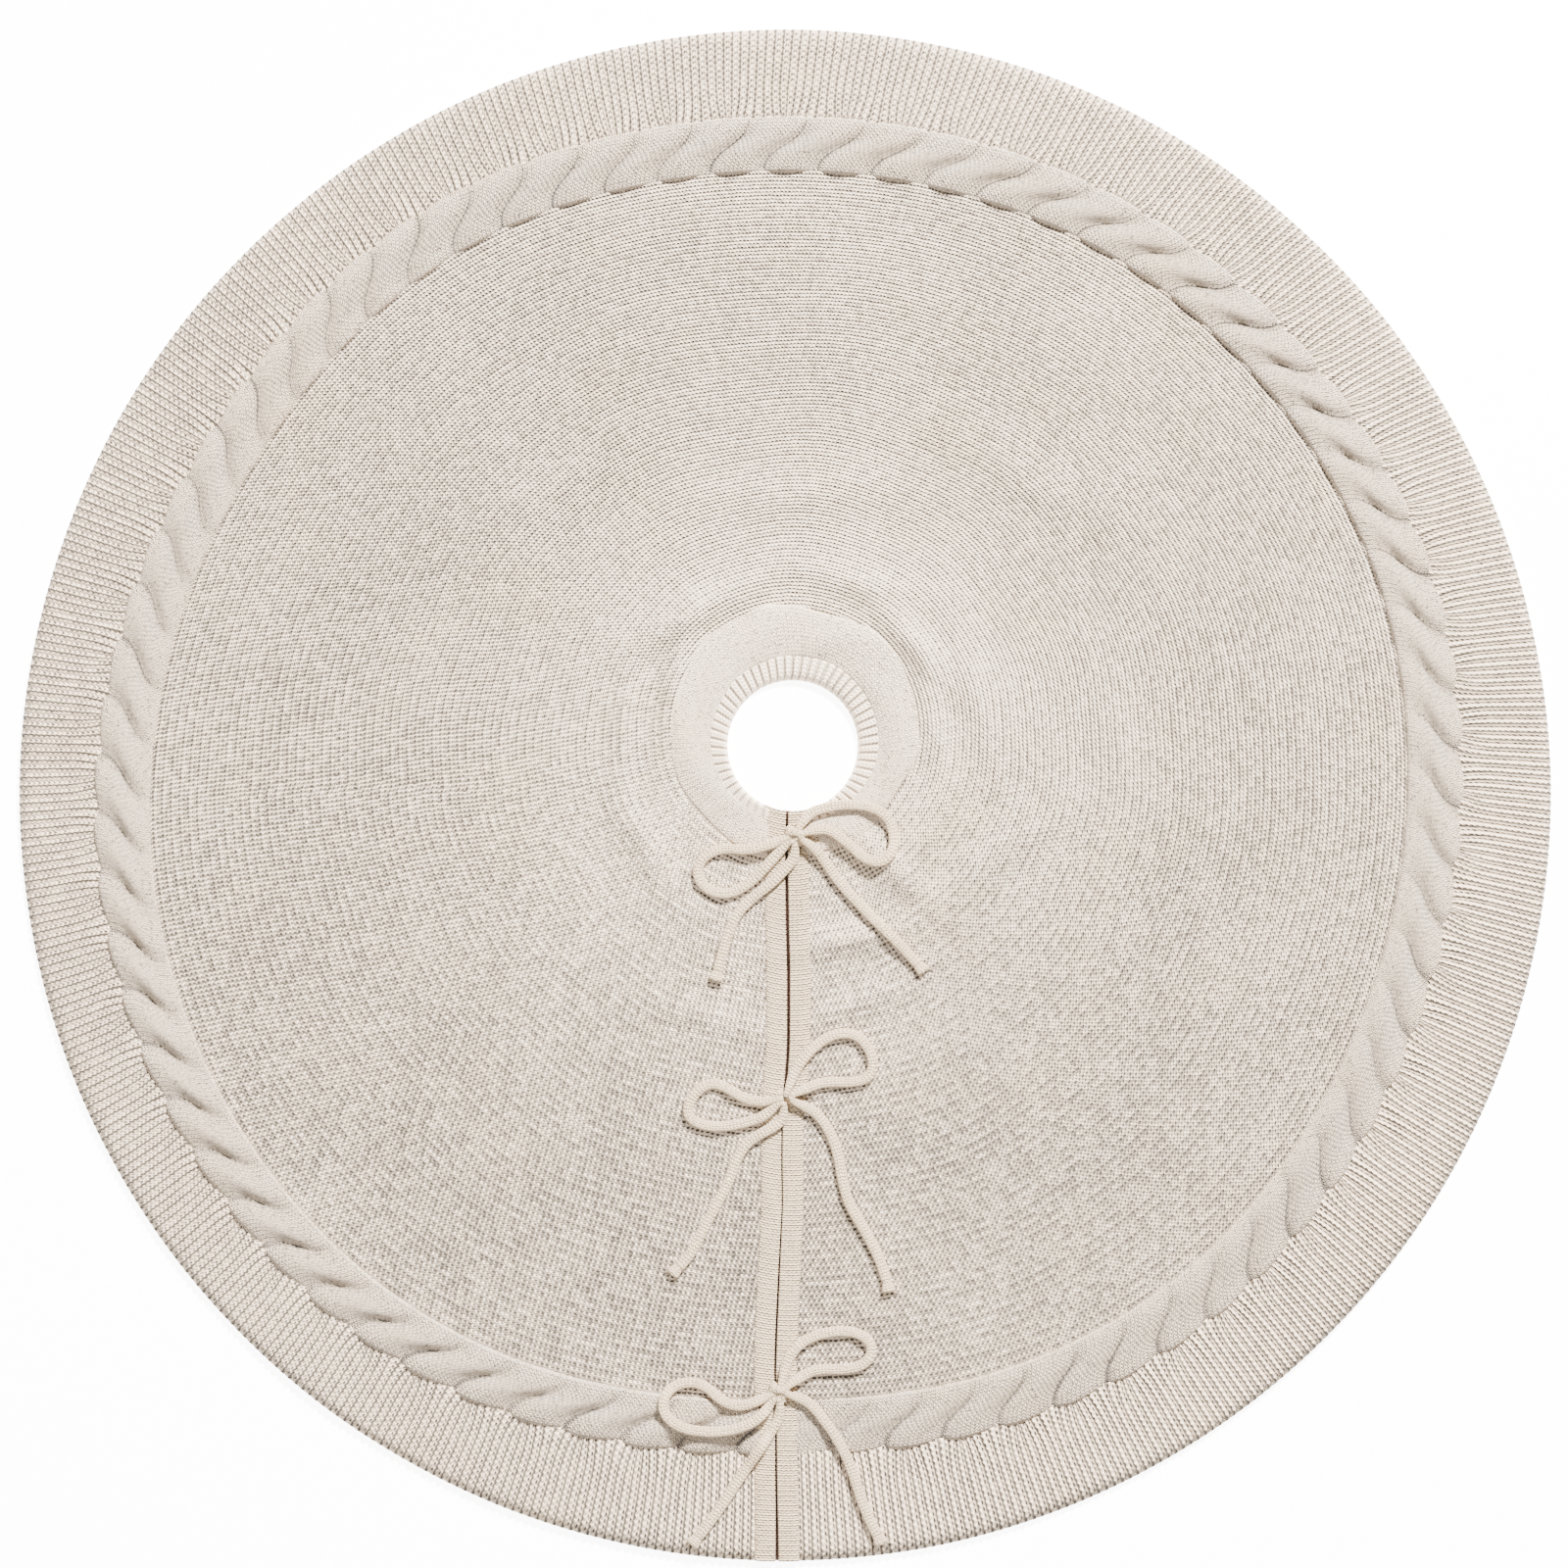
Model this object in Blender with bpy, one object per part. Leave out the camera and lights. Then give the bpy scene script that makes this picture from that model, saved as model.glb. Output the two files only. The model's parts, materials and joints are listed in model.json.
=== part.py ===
"""A round knitted tree skirt: garter-stitch field, rope cable, sideways-knit border, smooth collar with a
ribbed neck trim, and a front slit between two folded plackets that three tied bows hold shut.

Metres, +Z up. The skirt lies flat, with its underside at Z = 0. The centre of its round rim is the origin,
and the slit runs from the neck hole toward -Y.
"""

import math

import bmesh
import bpy
import numpy as np
from mathutils import Vector

# Gap between pieces that touch.
CLEARANCE = 0.0003

# Circles of the knitted rings: centres and radii.
SKIRT_CENTRE = (0.0, 0.0)
SKIRT_RADIUS = 0.610
NECK_CENTRE = (0.006, 0.0395)
NECK_RADIUS = 0.052
TRIM_CENTRE = (0.0075, 0.044)
TRIM_WIDTH = 0.017
COLLAR_CENTRE = (0.006, 0.052)
COLLAR_WIDTH = 0.032
CABLE_CENTRE = (-0.004, 0.005)
CABLE_WIDTH = 0.043
BORDER_WIDTH = 0.0745

# Thickness of each knitted piece as it lies.
TRIM_THICKNESS = 0.0055
COLLAR_THICKNESS = 0.0045
COLLAR_SWELL = 0.003
FIELD_THICKNESS = 0.005
CABLE_EDGE_THICKNESS = 0.0055
CABLE_SWELL = 0.0045
CABLE_FURROW = 0.0022
BORDER_THICKNESS = 0.006
PLACKET_THICKNESS = 0.0065
RIB_DEPTH = 0.0015

# Repeats round the rings.
CABLE_CROSSINGS = 72
CABLE_SLANT = 0.9
TRIM_RIBS = 54
OUTER_STATIONS = 2 * CABLE_CROSSINGS
INNER_STATIONS = 72

# Slit, plackets and the linking seams.
SLIT_X = 0.0045
SLIT_LEAN = 0.0225
SLIT_GAP = 0.0024
PLACKET_WIDTH = 0.0165
PLACKET_ROUNDING = 0.0015
SEAM_WIDTH = 0.0016
SEAM_HEIGHT = 0.0042
SEAM_BASE = 0.0006

# Ties: knitted cords, each with a loop, a tail and a bound-off end, held by a knot.
CORD_RADIUS = 0.0032
CORD_STEP = 0.010
CORD_SIDES = 2
CURVE_STEPS = 24
STRAND_TURN = 48
KNOT_RADIUS = (CORD_RADIUS + CLEARANCE) / math.sin(math.radians(STRAND_TURN / 2))
KNOT_HEIGHT = 0.010
KNOT_ROUNDING = 0.0022
KNOT_SIDES = 16
STRAND_LEAD = 0.005
STRAND_FALL = 0.22
END_LENGTH = 0.007
END_WIDTH = 0.009

# Each bow: the knot's place, the direction in degrees of its first strand, and the route of every strand.
# The strands leave the knot in turn, clockwise: right loop out, right loop back, right tail, left tail,
# left loop back, left loop out.
BOWS = {
    "top": {
        "knot": (0.0077, -0.0317),
        "turn": 66,
        "right_loop": (
            (0.0180, -0.0152), (0.0272, -0.0112), (0.0460, -0.0075), (0.0655, -0.0083), (0.0796, -0.0153),
            (0.0866, -0.0278), (0.0866, -0.0427), (0.0796, -0.0521), (0.0702, -0.0536), (0.0608, -0.0490),
            (0.0491, -0.0380), (0.0382, -0.0294), (0.0290, -0.0262),
        ),
        "left_loop": (
            (-0.0142, -0.0400), (-0.0307, -0.0443), (-0.0494, -0.0419), (-0.0635, -0.0474),
            (-0.0705, -0.0583), (-0.0674, -0.0708), (-0.0557, -0.0787), (-0.0400, -0.0779),
            (-0.0236, -0.0662), (-0.0111, -0.0521),
        ),
        "right_tail": (
            (0.0241, -0.0425), (0.0303, -0.0510), (0.0429, -0.0693), (0.0593, -0.0873), (0.0749, -0.1029),
            (0.0929, -0.1209), (0.1085, -0.1381),
        ),
        "left_tail": (
            (0.0080, -0.0500), (-0.0002, -0.0590), (-0.0095, -0.0690), (-0.0252, -0.0810),
            (-0.0369, -0.0920), (-0.0447, -0.1076), (-0.0494, -0.1240), (-0.0549, -0.1444),
        ),
    },
    "middle": {
        "knot": (-0.0002, -0.2405),
        "turn": 70,
        "right_loop": (
            (0.0085, -0.2170), (0.0225, -0.1999), (0.0389, -0.1897), (0.0554, -0.1897), (0.0663, -0.1999),
            (0.0710, -0.2139), (0.0670, -0.2249), (0.0538, -0.2288), (0.0319, -0.2280), (0.0200, -0.2315),
        ),
        "left_loop": (
            (-0.0200, -0.2445), (-0.0330, -0.2415), (-0.0455, -0.2335), (-0.0570, -0.2285),
            (-0.0690, -0.2335), (-0.0776, -0.2465), (-0.0765, -0.2570), (-0.0651, -0.2632),
            (-0.0471, -0.2640), (-0.0291, -0.2600), (-0.0165, -0.2555),
        ),
        "right_tail": (
            (0.0190, -0.2490), (0.0280, -0.2560), (0.0374, -0.2710), (0.0429, -0.2890), (0.0460, -0.3094),
            (0.0515, -0.3273), (0.0624, -0.3446), (0.0734, -0.3649), (0.0804, -0.3844), (0.0820, -0.3920),
        ),
        "left_tail": (
            (-0.0015, -0.2580), (-0.0095, -0.2640), (-0.0190, -0.2690), (-0.0307, -0.2765),
            (-0.0390, -0.2900), (-0.0455, -0.3094), (-0.0565, -0.3289), (-0.0666, -0.3485),
            (-0.0760, -0.3664), (-0.0880, -0.3790),
        ),
    },
    "bottom": {
        "knot": (-0.0048, -0.4743),
        "turn": 78,
        "right_loop": (
            (0.0014, -0.4509), (0.0092, -0.4376), (0.0241, -0.4298), (0.0429, -0.4259), (0.0593, -0.4282),
            (0.0687, -0.4360), (0.0687, -0.4470), (0.0600, -0.4546), (0.0450, -0.4572), (0.0272, -0.4565),
            (0.0145, -0.4610),
        ),
        "left_loop": (
            (-0.0260, -0.4830), (-0.0369, -0.4860), (-0.0494, -0.4825), (-0.0619, -0.4712),
            (-0.0737, -0.4665), (-0.0893, -0.4697), (-0.0980, -0.4806), (-0.0950, -0.4939),
            (-0.0815, -0.5033), (-0.0588, -0.5064), (-0.0369, -0.5033), (-0.0190, -0.4945),
        ),
        "right_tail": (
            (0.0140, -0.4800), (0.0241, -0.4880), (0.0335, -0.5002), (0.0429, -0.5142), (0.0510, -0.5307),
            (0.0562, -0.5460), (0.0615, -0.5630), (0.0690, -0.5800), (0.0755, -0.5925),
        ),
        "left_tail": (
            (-0.0035, -0.4945), (-0.0140, -0.5100), (-0.0236, -0.5250), (-0.0369, -0.5440),
            (-0.0510, -0.5659), (-0.0651, -0.5846), (-0.0722, -0.5935),
        ),
    },
}

CREAM = (0.70, 0.645, 0.60)
PALE_CREAM = (0.77, 0.715, 0.67)
WARM_CREAM = (0.73, 0.665, 0.585)
SEAM_CREAM = (0.60, 0.54, 0.48)
KNIT_ROUGHNESS = 0.92
CORD_ROUGHNESS = 0.85


def clear_scene():
    for item in list(bpy.data.objects):
        bpy.data.objects.remove(item)


def knit_material(name, colour, roughness):
    material = bpy.data.materials.new(name)
    material.use_nodes = True
    shader = material.node_tree.nodes["Principled BSDF"]
    shader.inputs["Base Color"].default_value = (*colour, 1.0)
    shader.inputs["Roughness"].default_value = roughness
    shader.inputs["Metallic"].default_value = 0.0
    return material


def add_object(name, data, material):
    data.materials.append(material)
    piece = bpy.data.objects.new(name, data)
    bpy.context.scene.collection.objects.link(piece)
    return piece


def add_mesh(name, shape, material, smooth_below=35):
    """Turns a bmesh into a named object, round where its faces meet at less than the given angle."""
    bmesh.ops.recalc_face_normals(shape, faces=shape.faces)
    data = bpy.data.meshes.new(name)
    shape.to_mesh(data)
    shape.free()
    data.shade_smooth()
    data.set_sharp_from_angle(angle=math.radians(smooth_below))
    return add_object(name, data, material)


# --- The plan of the skirt ---

def slit_x(y):
    """The slit drifts a little to the left on its way from the neck to the rim."""
    return SLIT_X + SLIT_LEAN * y


def beside_slit(circle, offset):
    """Where a circle meets the line that runs beside the slit."""
    (centre_x, centre_y), radius = circle
    x = centre_x
    for _ in range(25):
        y = centre_y - math.sqrt(radius ** 2 - (x - centre_x) ** 2)
        x = slit_x(y) + offset
    return x, y


def arc(circle, offset, stations):
    """Points round a circle, from the right side of the slit to the left side."""
    (centre_x, centre_y), radius = circle
    right_x, right_y = beside_slit(circle, offset)
    left_x, left_y = beside_slit(circle, -offset)
    first = math.atan2(right_y - centre_y, right_x - centre_x)
    last = math.atan2(left_y - centre_y, left_x - centre_x) + math.tau
    angles = [first + (last - first) * step / stations for step in range(stations + 1)]
    return [Vector((centre_x + radius * math.cos(a), centre_y + radius * math.sin(a), 0)) for a in angles]


def rings():
    """Each ring between the neck and the rim, from the inside out: its inner and outer circles."""
    trim_radius = NECK_RADIUS + TRIM_WIDTH
    collar_radius = trim_radius + COLLAR_WIDTH
    cable_outer = SKIRT_RADIUS - BORDER_WIDTH
    cable_inner = cable_outer - CABLE_WIDTH
    seam_room = SEAM_WIDTH + 2 * CLEARANCE
    neck = (NECK_CENTRE, NECK_RADIUS)
    rim = (SKIRT_CENTRE, SKIRT_RADIUS)
    joints = [
        ("seam_trim_to_collar", TRIM_CENTRE, trim_radius),
        ("seam_collar_to_field", COLLAR_CENTRE, collar_radius),
        ("seam_field_to_cable", CABLE_CENTRE, cable_inner),
        ("seam_cable_to_border", CABLE_CENTRE, cable_outer),
    ]
    panels = ["ribbed_neck_trim", "stockinette_collar", "garter_field", "rope_cable", "garter_border"]
    plan = {}
    inner = neck
    for panel, (seam, centre, radius) in zip(panels, joints):
        plan[panel] = (inner, (centre, radius - seam_room / 2))
        plan[seam] = ((centre, radius - SEAM_WIDTH / 2), (centre, radius + SEAM_WIDTH / 2))
        inner = (centre, radius + seam_room / 2)
    plan[panels[-1]] = (inner, rim)
    return plan


PLAN = rings()


def panel_offset():
    """How far a panel's end stands from the middle of the slit."""
    return SLIT_GAP / 2 + PLACKET_WIDTH + SEAM_WIDTH + 2 * CLEARANCE


# --- Knitted rings ---

def knit_ring(name, stations, rows, base, top, material):
    """A flat band between two circles, open at the slit. top(around, across) is its upper face's height."""
    inner, outer = PLAN[name]
    inside = arc(inner, panel_offset(), stations)
    outside = arc(outer, panel_offset(), stations)
    shape = bmesh.new()
    bmesh.ops.create_grid(shape, x_segments=stations, y_segments=rows, size=0.5)
    around = shape.verts.layers.float.new("around")
    across = shape.verts.layers.float.new("across")
    for vert in shape.verts:
        station = round((vert.co.x + 0.5) * stations)
        share = vert.co.y + 0.5
        vert[around] = station / stations
        vert[across] = share
        vert.co = inside[station].lerp(outside[station], share)
        vert.co.z = base
    raised = bmesh.ops.extrude_face_region(shape, geom=shape.faces[:])["geom"]
    for vert in raised:
        if isinstance(vert, bmesh.types.BMVert):
            vert.co.z = top(vert[around], vert[across])
    return add_mesh(name, shape, material)


def ribbed_top(around, across):
    """The neck trim's ribs run out from the hole."""
    ribs = 0.5 + 0.5 * math.cos(math.tau * TRIM_RIBS * around)
    return TRIM_THICKNESS - RIB_DEPTH * (1 - ribs) * math.sin(math.pi * min(1, 0.25 + across))


def collar_top(around, across):
    """The collar swells in the middle, where the trim and the field pull it up."""
    return COLLAR_THICKNESS + COLLAR_SWELL * math.sin(math.pi * across)


def rope_top(around, across):
    """The rope's strands cross at a slant, with a furrow between one lobe and the next."""
    crown = math.sin(math.pi * across) ** 0.7
    furrow = 0.5 - 0.5 * math.cos(math.tau * (CABLE_CROSSINGS * around + CABLE_SLANT * (across - 0.5)))
    return CABLE_EDGE_THICKNESS + crown * (CABLE_SWELL - CABLE_FURROW * furrow)


def build_rings(cream, pale, warm, thread):
    knit_ring("ribbed_neck_trim", 2 * TRIM_RIBS, 2, 0.0, ribbed_top, warm)
    knit_ring("stockinette_collar", INNER_STATIONS, 2, 0.0, collar_top, pale)
    knit_ring("garter_field", OUTER_STATIONS, 1, 0.0, lambda around, across: FIELD_THICKNESS, cream)
    knit_ring("rope_cable", OUTER_STATIONS, 4, 0.0, rope_top, cream)
    knit_ring("garter_border", OUTER_STATIONS, 1, 0.0, lambda around, across: BORDER_THICKNESS, cream)
    for name in PLAN:
        if name.startswith("seam"):
            stations = OUTER_STATIONS if "cable" in name else INNER_STATIONS
            knit_ring(name, stations, 1, SEAM_BASE, lambda around, across: SEAM_HEIGHT, thread)


# --- Strips beside the slit ---

def strip(name, near, far, base, top, material, rounding=0.0):
    """A straight strip from the neck to the rim. near and far are its sides' distances from the slit."""
    neck = (NECK_CENTRE, NECK_RADIUS)
    rim = (SKIRT_CENTRE, SKIRT_RADIUS)
    sides = [near, (near + far) / 2, far]
    outline = [beside_slit(neck, side) for side in sides] + [beside_slit(rim, side) for side in reversed(sides)]
    shape = bmesh.new()
    face = shape.faces.new([shape.verts.new((x, y, base)) for x, y in outline])
    raised = bmesh.ops.extrude_face_region(shape, geom=[face])["geom"]
    bmesh.ops.translate(
        shape, vec=(0, 0, top - base), verts=[item for item in raised if isinstance(item, bmesh.types.BMVert)]
    )
    if rounding:
        edges = [
            edge for edge in shape.edges
            if all(vert.co.z == top for vert in edge.verts) and abs(edge.verts[0].co.y - edge.verts[1].co.y) > 0.1
        ]
        bmesh.ops.bevel(
            shape, geom=edges, offset=rounding, affect="EDGES", segments=2, profile=0.5, material=-1
        )
    return add_mesh(name, shape, material)


def build_slit_edges(warm, thread):
    """The two folded plackets and the seams that join them to the ends of the rings."""
    near = SLIT_GAP / 2
    far = near + PLACKET_WIDTH
    seam_near = far + CLEARANCE
    seam_far = seam_near + SEAM_WIDTH
    for side, sign in (("left", -1), ("right", 1)):
        strip(side + "_placket", sign * near, sign * far, 0.0, PLACKET_THICKNESS, warm, PLACKET_ROUNDING)
        strip(side + "_placket_seam", sign * seam_near, sign * seam_far, SEAM_BASE, SEAM_HEIGHT, thread)


# --- Tied bows ---

def fabric_top(x, y):
    """Height of the skirt's upper face under a place."""
    tops = {
        "ribbed_neck_trim": TRIM_THICKNESS,
        "stockinette_collar": COLLAR_THICKNESS + COLLAR_SWELL,
        "garter_field": FIELD_THICKNESS,
        "rope_cable": CABLE_EDGE_THICKNESS + CABLE_SWELL,
        "garter_border": BORDER_THICKNESS,
    }
    if math.dist((x, y), NECK_CENTRE) < NECK_RADIUS or math.hypot(x, y) > SKIRT_RADIUS:
        return 0.0
    if y < NECK_CENTRE[1] and abs(x - slit_x(y)) < SLIT_GAP / 2 + PLACKET_WIDTH:
        return PLACKET_THICKNESS
    for name, top in tops.items():
        centre, radius = PLAN[name][1]
        if math.dist((x, y), centre) < radius + SEAM_WIDTH:
            return top
    return BORDER_THICKNESS


def highest_under(x, y, reach):
    """The highest fabric within reach of a place."""
    turns = [math.tau * step / 8 for step in range(8)]
    ring = [(x + reach * math.cos(a), y + reach * math.sin(a)) for a in turns]
    return max(fabric_top(*place) for place in [(x, y), *ring])


def smooth_route(points, ends_at_knot):
    """Points along a smooth curve through a strand's own points: a straight lead at a knot, then even steps."""
    ghosts = [2 * points[0] - points[1], *points, 2 * points[-1] - points[-2]]
    dense = []
    for before, start, end, after in zip(ghosts, ghosts[1:], ghosts[2:], ghosts[3:]):
        for share in np.linspace(0, 1, CURVE_STEPS, endpoint=False):
            dense.append(0.5 * (
                2 * start + (end - before) * share + (2 * before - 5 * start + 4 * end - after) * share ** 2
                + (3 * start - before - 3 * end + after) * share ** 3
            ))
    dense = np.array([*dense, points[-1]])
    along = np.concatenate([[0], np.cumsum(np.linalg.norm(np.diff(dense, axis=0), axis=1))])
    free_start = along[CURVE_STEPS]
    free_end = along[-1 - CURVE_STEPS] if ends_at_knot else along[-1]
    places = np.linspace(free_start, free_end, round((free_end - free_start) / CORD_STEP) + 1)
    places = np.unique([0, *places, along[-1]])
    return np.stack([np.interp(places, along, dense[:, axis]) for axis in range(2)], axis=1)


def lay_on_fabric(route, ends_at_knot):
    """Heights of a strand's centre: it rests on the fabric, and is level where it meets a knot."""
    rest = [highest_under(x, y, CORD_RADIUS + CORD_STEP / 2) + CLEARANCE + CORD_RADIUS for x, y in route]
    along = np.concatenate([[0], np.cumsum(np.linalg.norm(np.diff(route, axis=0), axis=1))])
    from_knot = np.minimum(along, along[-1] - along) if ends_at_knot else along
    fall = np.maximum(from_knot - STRAND_LEAD, 0)
    heights = np.maximum(rest, knot_middle() - STRAND_FALL * fall)
    heights[0] = heights[1]
    if ends_at_knot:
        heights[-1] = heights[-2]
    return heights


def knot_middle():
    """Height at which the strands enter a knot."""
    return PLACKET_THICKNESS + CLEARANCE + KNOT_HEIGHT / 2


def fan(bow, place):
    """The two points where a strand leaves the knot, straight out. place counts the strands clockwise."""
    angle = math.radians(bow["turn"] - STRAND_TURN * place)
    away = np.array([math.cos(angle), math.sin(angle)])
    start = np.array(bow["knot"]) + away * (KNOT_RADIUS + CLEARANCE)
    return [start, start + away * STRAND_LEAD]


def strand(name, points, ends_at_knot, material):
    """A stretch of cord that leaves a knot, laid on the fabric. Returns its last two points."""
    route = smooth_route([np.array(point) for point in points], ends_at_knot)
    heights = lay_on_fabric(route, ends_at_knot)
    path = bpy.data.curves.new(name, "CURVE")
    path.dimensions = "3D"
    spline = path.splines.new("POLY")
    spline.points.add(len(route) - 1)
    for point, (x, y), z in zip(spline.points, route, heights):
        point.co = (x, y, z, 1)
    path.bevel_depth = CORD_RADIUS
    path.bevel_resolution = CORD_SIDES
    path.use_fill_caps = True
    add_object(name, path, material)
    return [Vector((x, y, z)) for (x, y), z in zip(route[-2:], heights[-2:])]


def bow_knot(name, place, material):
    """The bundle of wraps at the middle of a bow."""
    shape = bmesh.new()
    bmesh.ops.create_cone(
        shape, cap_ends=True, segments=KNOT_SIDES, radius1=KNOT_RADIUS, radius2=KNOT_RADIUS, depth=KNOT_HEIGHT
    )
    rims = [edge for edge in shape.edges if abs(edge.verts[0].co.z - edge.verts[1].co.z) < CLEARANCE]
    bmesh.ops.bevel(
        shape, geom=rims, offset=KNOT_ROUNDING, affect="EDGES", segments=2, profile=0.5, material=-1
    )
    bmesh.ops.translate(shape, vec=(*place, knot_middle()), verts=shape.verts)
    add_mesh(name, shape, material, smooth_below=50)


def cord_end(name, before, tip, material):
    """The bound-off end of a tie, in line with the cord's last stretch."""
    along = (tip - before).normalized()
    shape = bmesh.new()
    bmesh.ops.create_uvsphere(shape, u_segments=8, v_segments=6, radius=0.5)
    bmesh.ops.scale(shape, vec=(END_WIDTH, 2 * CORD_RADIUS, END_LENGTH), verts=shape.verts)
    turn = along.to_track_quat("Z", "Y").to_matrix()
    bmesh.ops.rotate(shape, cent=(0, 0, 0), matrix=turn, verts=shape.verts)
    bmesh.ops.translate(shape, vec=tip + along * (END_LENGTH / 2 + CLEARANCE), verts=shape.verts)
    add_mesh(name, shape, material, smooth_below=70)


def build_bow(name, bow, cord, knot):
    right_out, right_back, right_tail, left_tail, left_back, left_out = (fan(bow, place) for place in range(6))
    bow_knot(name + "_bow_knot", bow["knot"], knot)
    strand(name + "_right_loop", [*right_out, *bow["right_loop"], *reversed(right_back)], True, cord)
    strand(name + "_left_loop", [*left_out, *bow["left_loop"], *reversed(left_back)], True, cord)
    for side, start in (("right", right_tail), ("left", left_tail)):
        before, tip = strand(f"{name}_{side}_tail", [*start, *bow[side + "_tail"]], False, cord)
        cord_end(f"{name}_{side}_tie_end", before, tip, knot)


def main():
    clear_scene()
    cream = knit_material("cream_knit", CREAM, KNIT_ROUGHNESS)
    pale = knit_material("pale_knit", PALE_CREAM, KNIT_ROUGHNESS)
    warm = knit_material("warm_knit", WARM_CREAM, KNIT_ROUGHNESS)
    thread = knit_material("linking_yarn", SEAM_CREAM, KNIT_ROUGHNESS)
    cord = knit_material("tie_cord", WARM_CREAM, CORD_ROUGHNESS)
    build_rings(cream, pale, warm, thread)
    build_slit_edges(warm, thread)
    for name, bow in BOWS.items():
        build_bow(name, bow, cord, cord)


main()
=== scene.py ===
"""Looks of a round knitted tree skirt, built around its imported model.

Every piece is laid out on the rings and the slit that the frame gives. The cloth pieces are grids that are
bent into rings, their knitting is relief in the mesh with finer stitches in the finish, and the ties are
flattened knitted tubes that lie on the cloth.
"""

import json
import math

import bmesh
import bpy
import numpy as np
from bpy.props import FloatProperty, FloatVectorProperty, IntProperty, PointerProperty
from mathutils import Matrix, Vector
from mathutils.bvhtree import BVHTree

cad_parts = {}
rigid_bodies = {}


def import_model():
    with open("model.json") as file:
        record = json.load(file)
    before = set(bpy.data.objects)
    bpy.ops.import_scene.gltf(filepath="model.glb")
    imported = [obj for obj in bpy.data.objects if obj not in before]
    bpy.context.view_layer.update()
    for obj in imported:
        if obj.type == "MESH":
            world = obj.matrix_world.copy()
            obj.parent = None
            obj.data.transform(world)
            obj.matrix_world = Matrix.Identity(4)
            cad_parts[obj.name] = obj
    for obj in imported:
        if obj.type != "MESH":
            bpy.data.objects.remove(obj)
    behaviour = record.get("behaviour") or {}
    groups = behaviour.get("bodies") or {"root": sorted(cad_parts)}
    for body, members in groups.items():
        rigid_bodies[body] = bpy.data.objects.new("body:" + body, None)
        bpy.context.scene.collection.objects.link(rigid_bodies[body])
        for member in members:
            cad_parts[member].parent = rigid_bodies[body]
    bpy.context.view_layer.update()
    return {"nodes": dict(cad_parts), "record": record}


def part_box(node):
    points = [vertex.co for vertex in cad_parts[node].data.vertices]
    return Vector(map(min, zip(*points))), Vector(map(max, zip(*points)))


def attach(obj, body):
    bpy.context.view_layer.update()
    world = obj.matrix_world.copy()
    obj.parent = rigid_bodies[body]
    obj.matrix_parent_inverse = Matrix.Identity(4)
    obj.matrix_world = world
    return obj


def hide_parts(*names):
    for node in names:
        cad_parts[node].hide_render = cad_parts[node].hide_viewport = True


bl_info = {
    "name": "Knitted Tree Skirt",
    "version": (1, 0, 0),
    "blender": (4, 5, 0),
    "location": "3D View > Sidebar > Tree Skirt",
    "description": "Knits a round tree skirt with a rope cable, a wide border and three tied bows",
    "category": "Add Mesh",
}

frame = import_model()

BODY = "root"
UV_NAME = "stitches"

# Metres: a placket's width, how far a cloth runs on under its neighbour, and half of the straight slit's gap.
PLACKET_WIDTH = 0.0165
RING_UNDER_PLACKET = 0.0035
RING_UNDER_CABLE = 0.007
FIELD_UNDER_COLLAR = 0.006
STRAIGHT_HALF_GAP = 0.0012

# The cable's stitches along a lobe and over its width, then its back's share of the way round, and its reach.
CABLE_COLUMNS = 12.0
CABLE_COURSES = 19
CABLE_BACK = 0.51
CABLE_BACK_REACH = 0.14

# How much higher the folds stand than the heights written for them.
FOLD_GAIN = 2.4

# How the slit wanders off its straight line, and how far it stands open: (Y, metres).
SLIT_WANDER = (
    (-0.610, 0.0028), (-0.580, 0.0020), (-0.540, 0.0005), (-0.510, -0.0003), (-0.457, -0.0022),
    (-0.427, -0.0019), (-0.380, -0.0008), (-0.327, 0.0007), (-0.290, -0.0006), (-0.255, -0.0010),
    (-0.222, 0.0016), (-0.200, 0.0026), (-0.160, 0.0018), (-0.135, 0.0012), (-0.103, -0.0004),
    (-0.058, -0.0020), (-0.010, -0.0026),
)
SLIT_OPENING = (
    (-0.610, 0.0030), (-0.570, 0.0020), (-0.500, 0.0014), (-0.440, 0.0018), (-0.400, 0.0016),
    (-0.340, 0.0010), (-0.260, 0.0012), (-0.225, 0.0026), (-0.120, 0.0030), (-0.060, 0.0028),
    (-0.010, 0.0020),
)

# How the cable strays outward from its circle: (degrees round from the right-hand side, metres).
CABLE_WANDER = (
    (-90, -0.006), (-80, -0.002), (-68, 0.005), (-50, 0.011), (-22, 0.0055), (0, 0.008), (20, 0.013),
    (40, 0.010), (60, 0.0075), (75, 0.002), (92, -0.001), (103, 0.000), (120, 0.007), (132, 0.004),
    (148, -0.001), (165, 0.005), (182, 0.0115), (205, 0.016), (228, 0.017), (242, 0.012),
    (258, 0.000), (270, -0.006),
)

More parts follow.
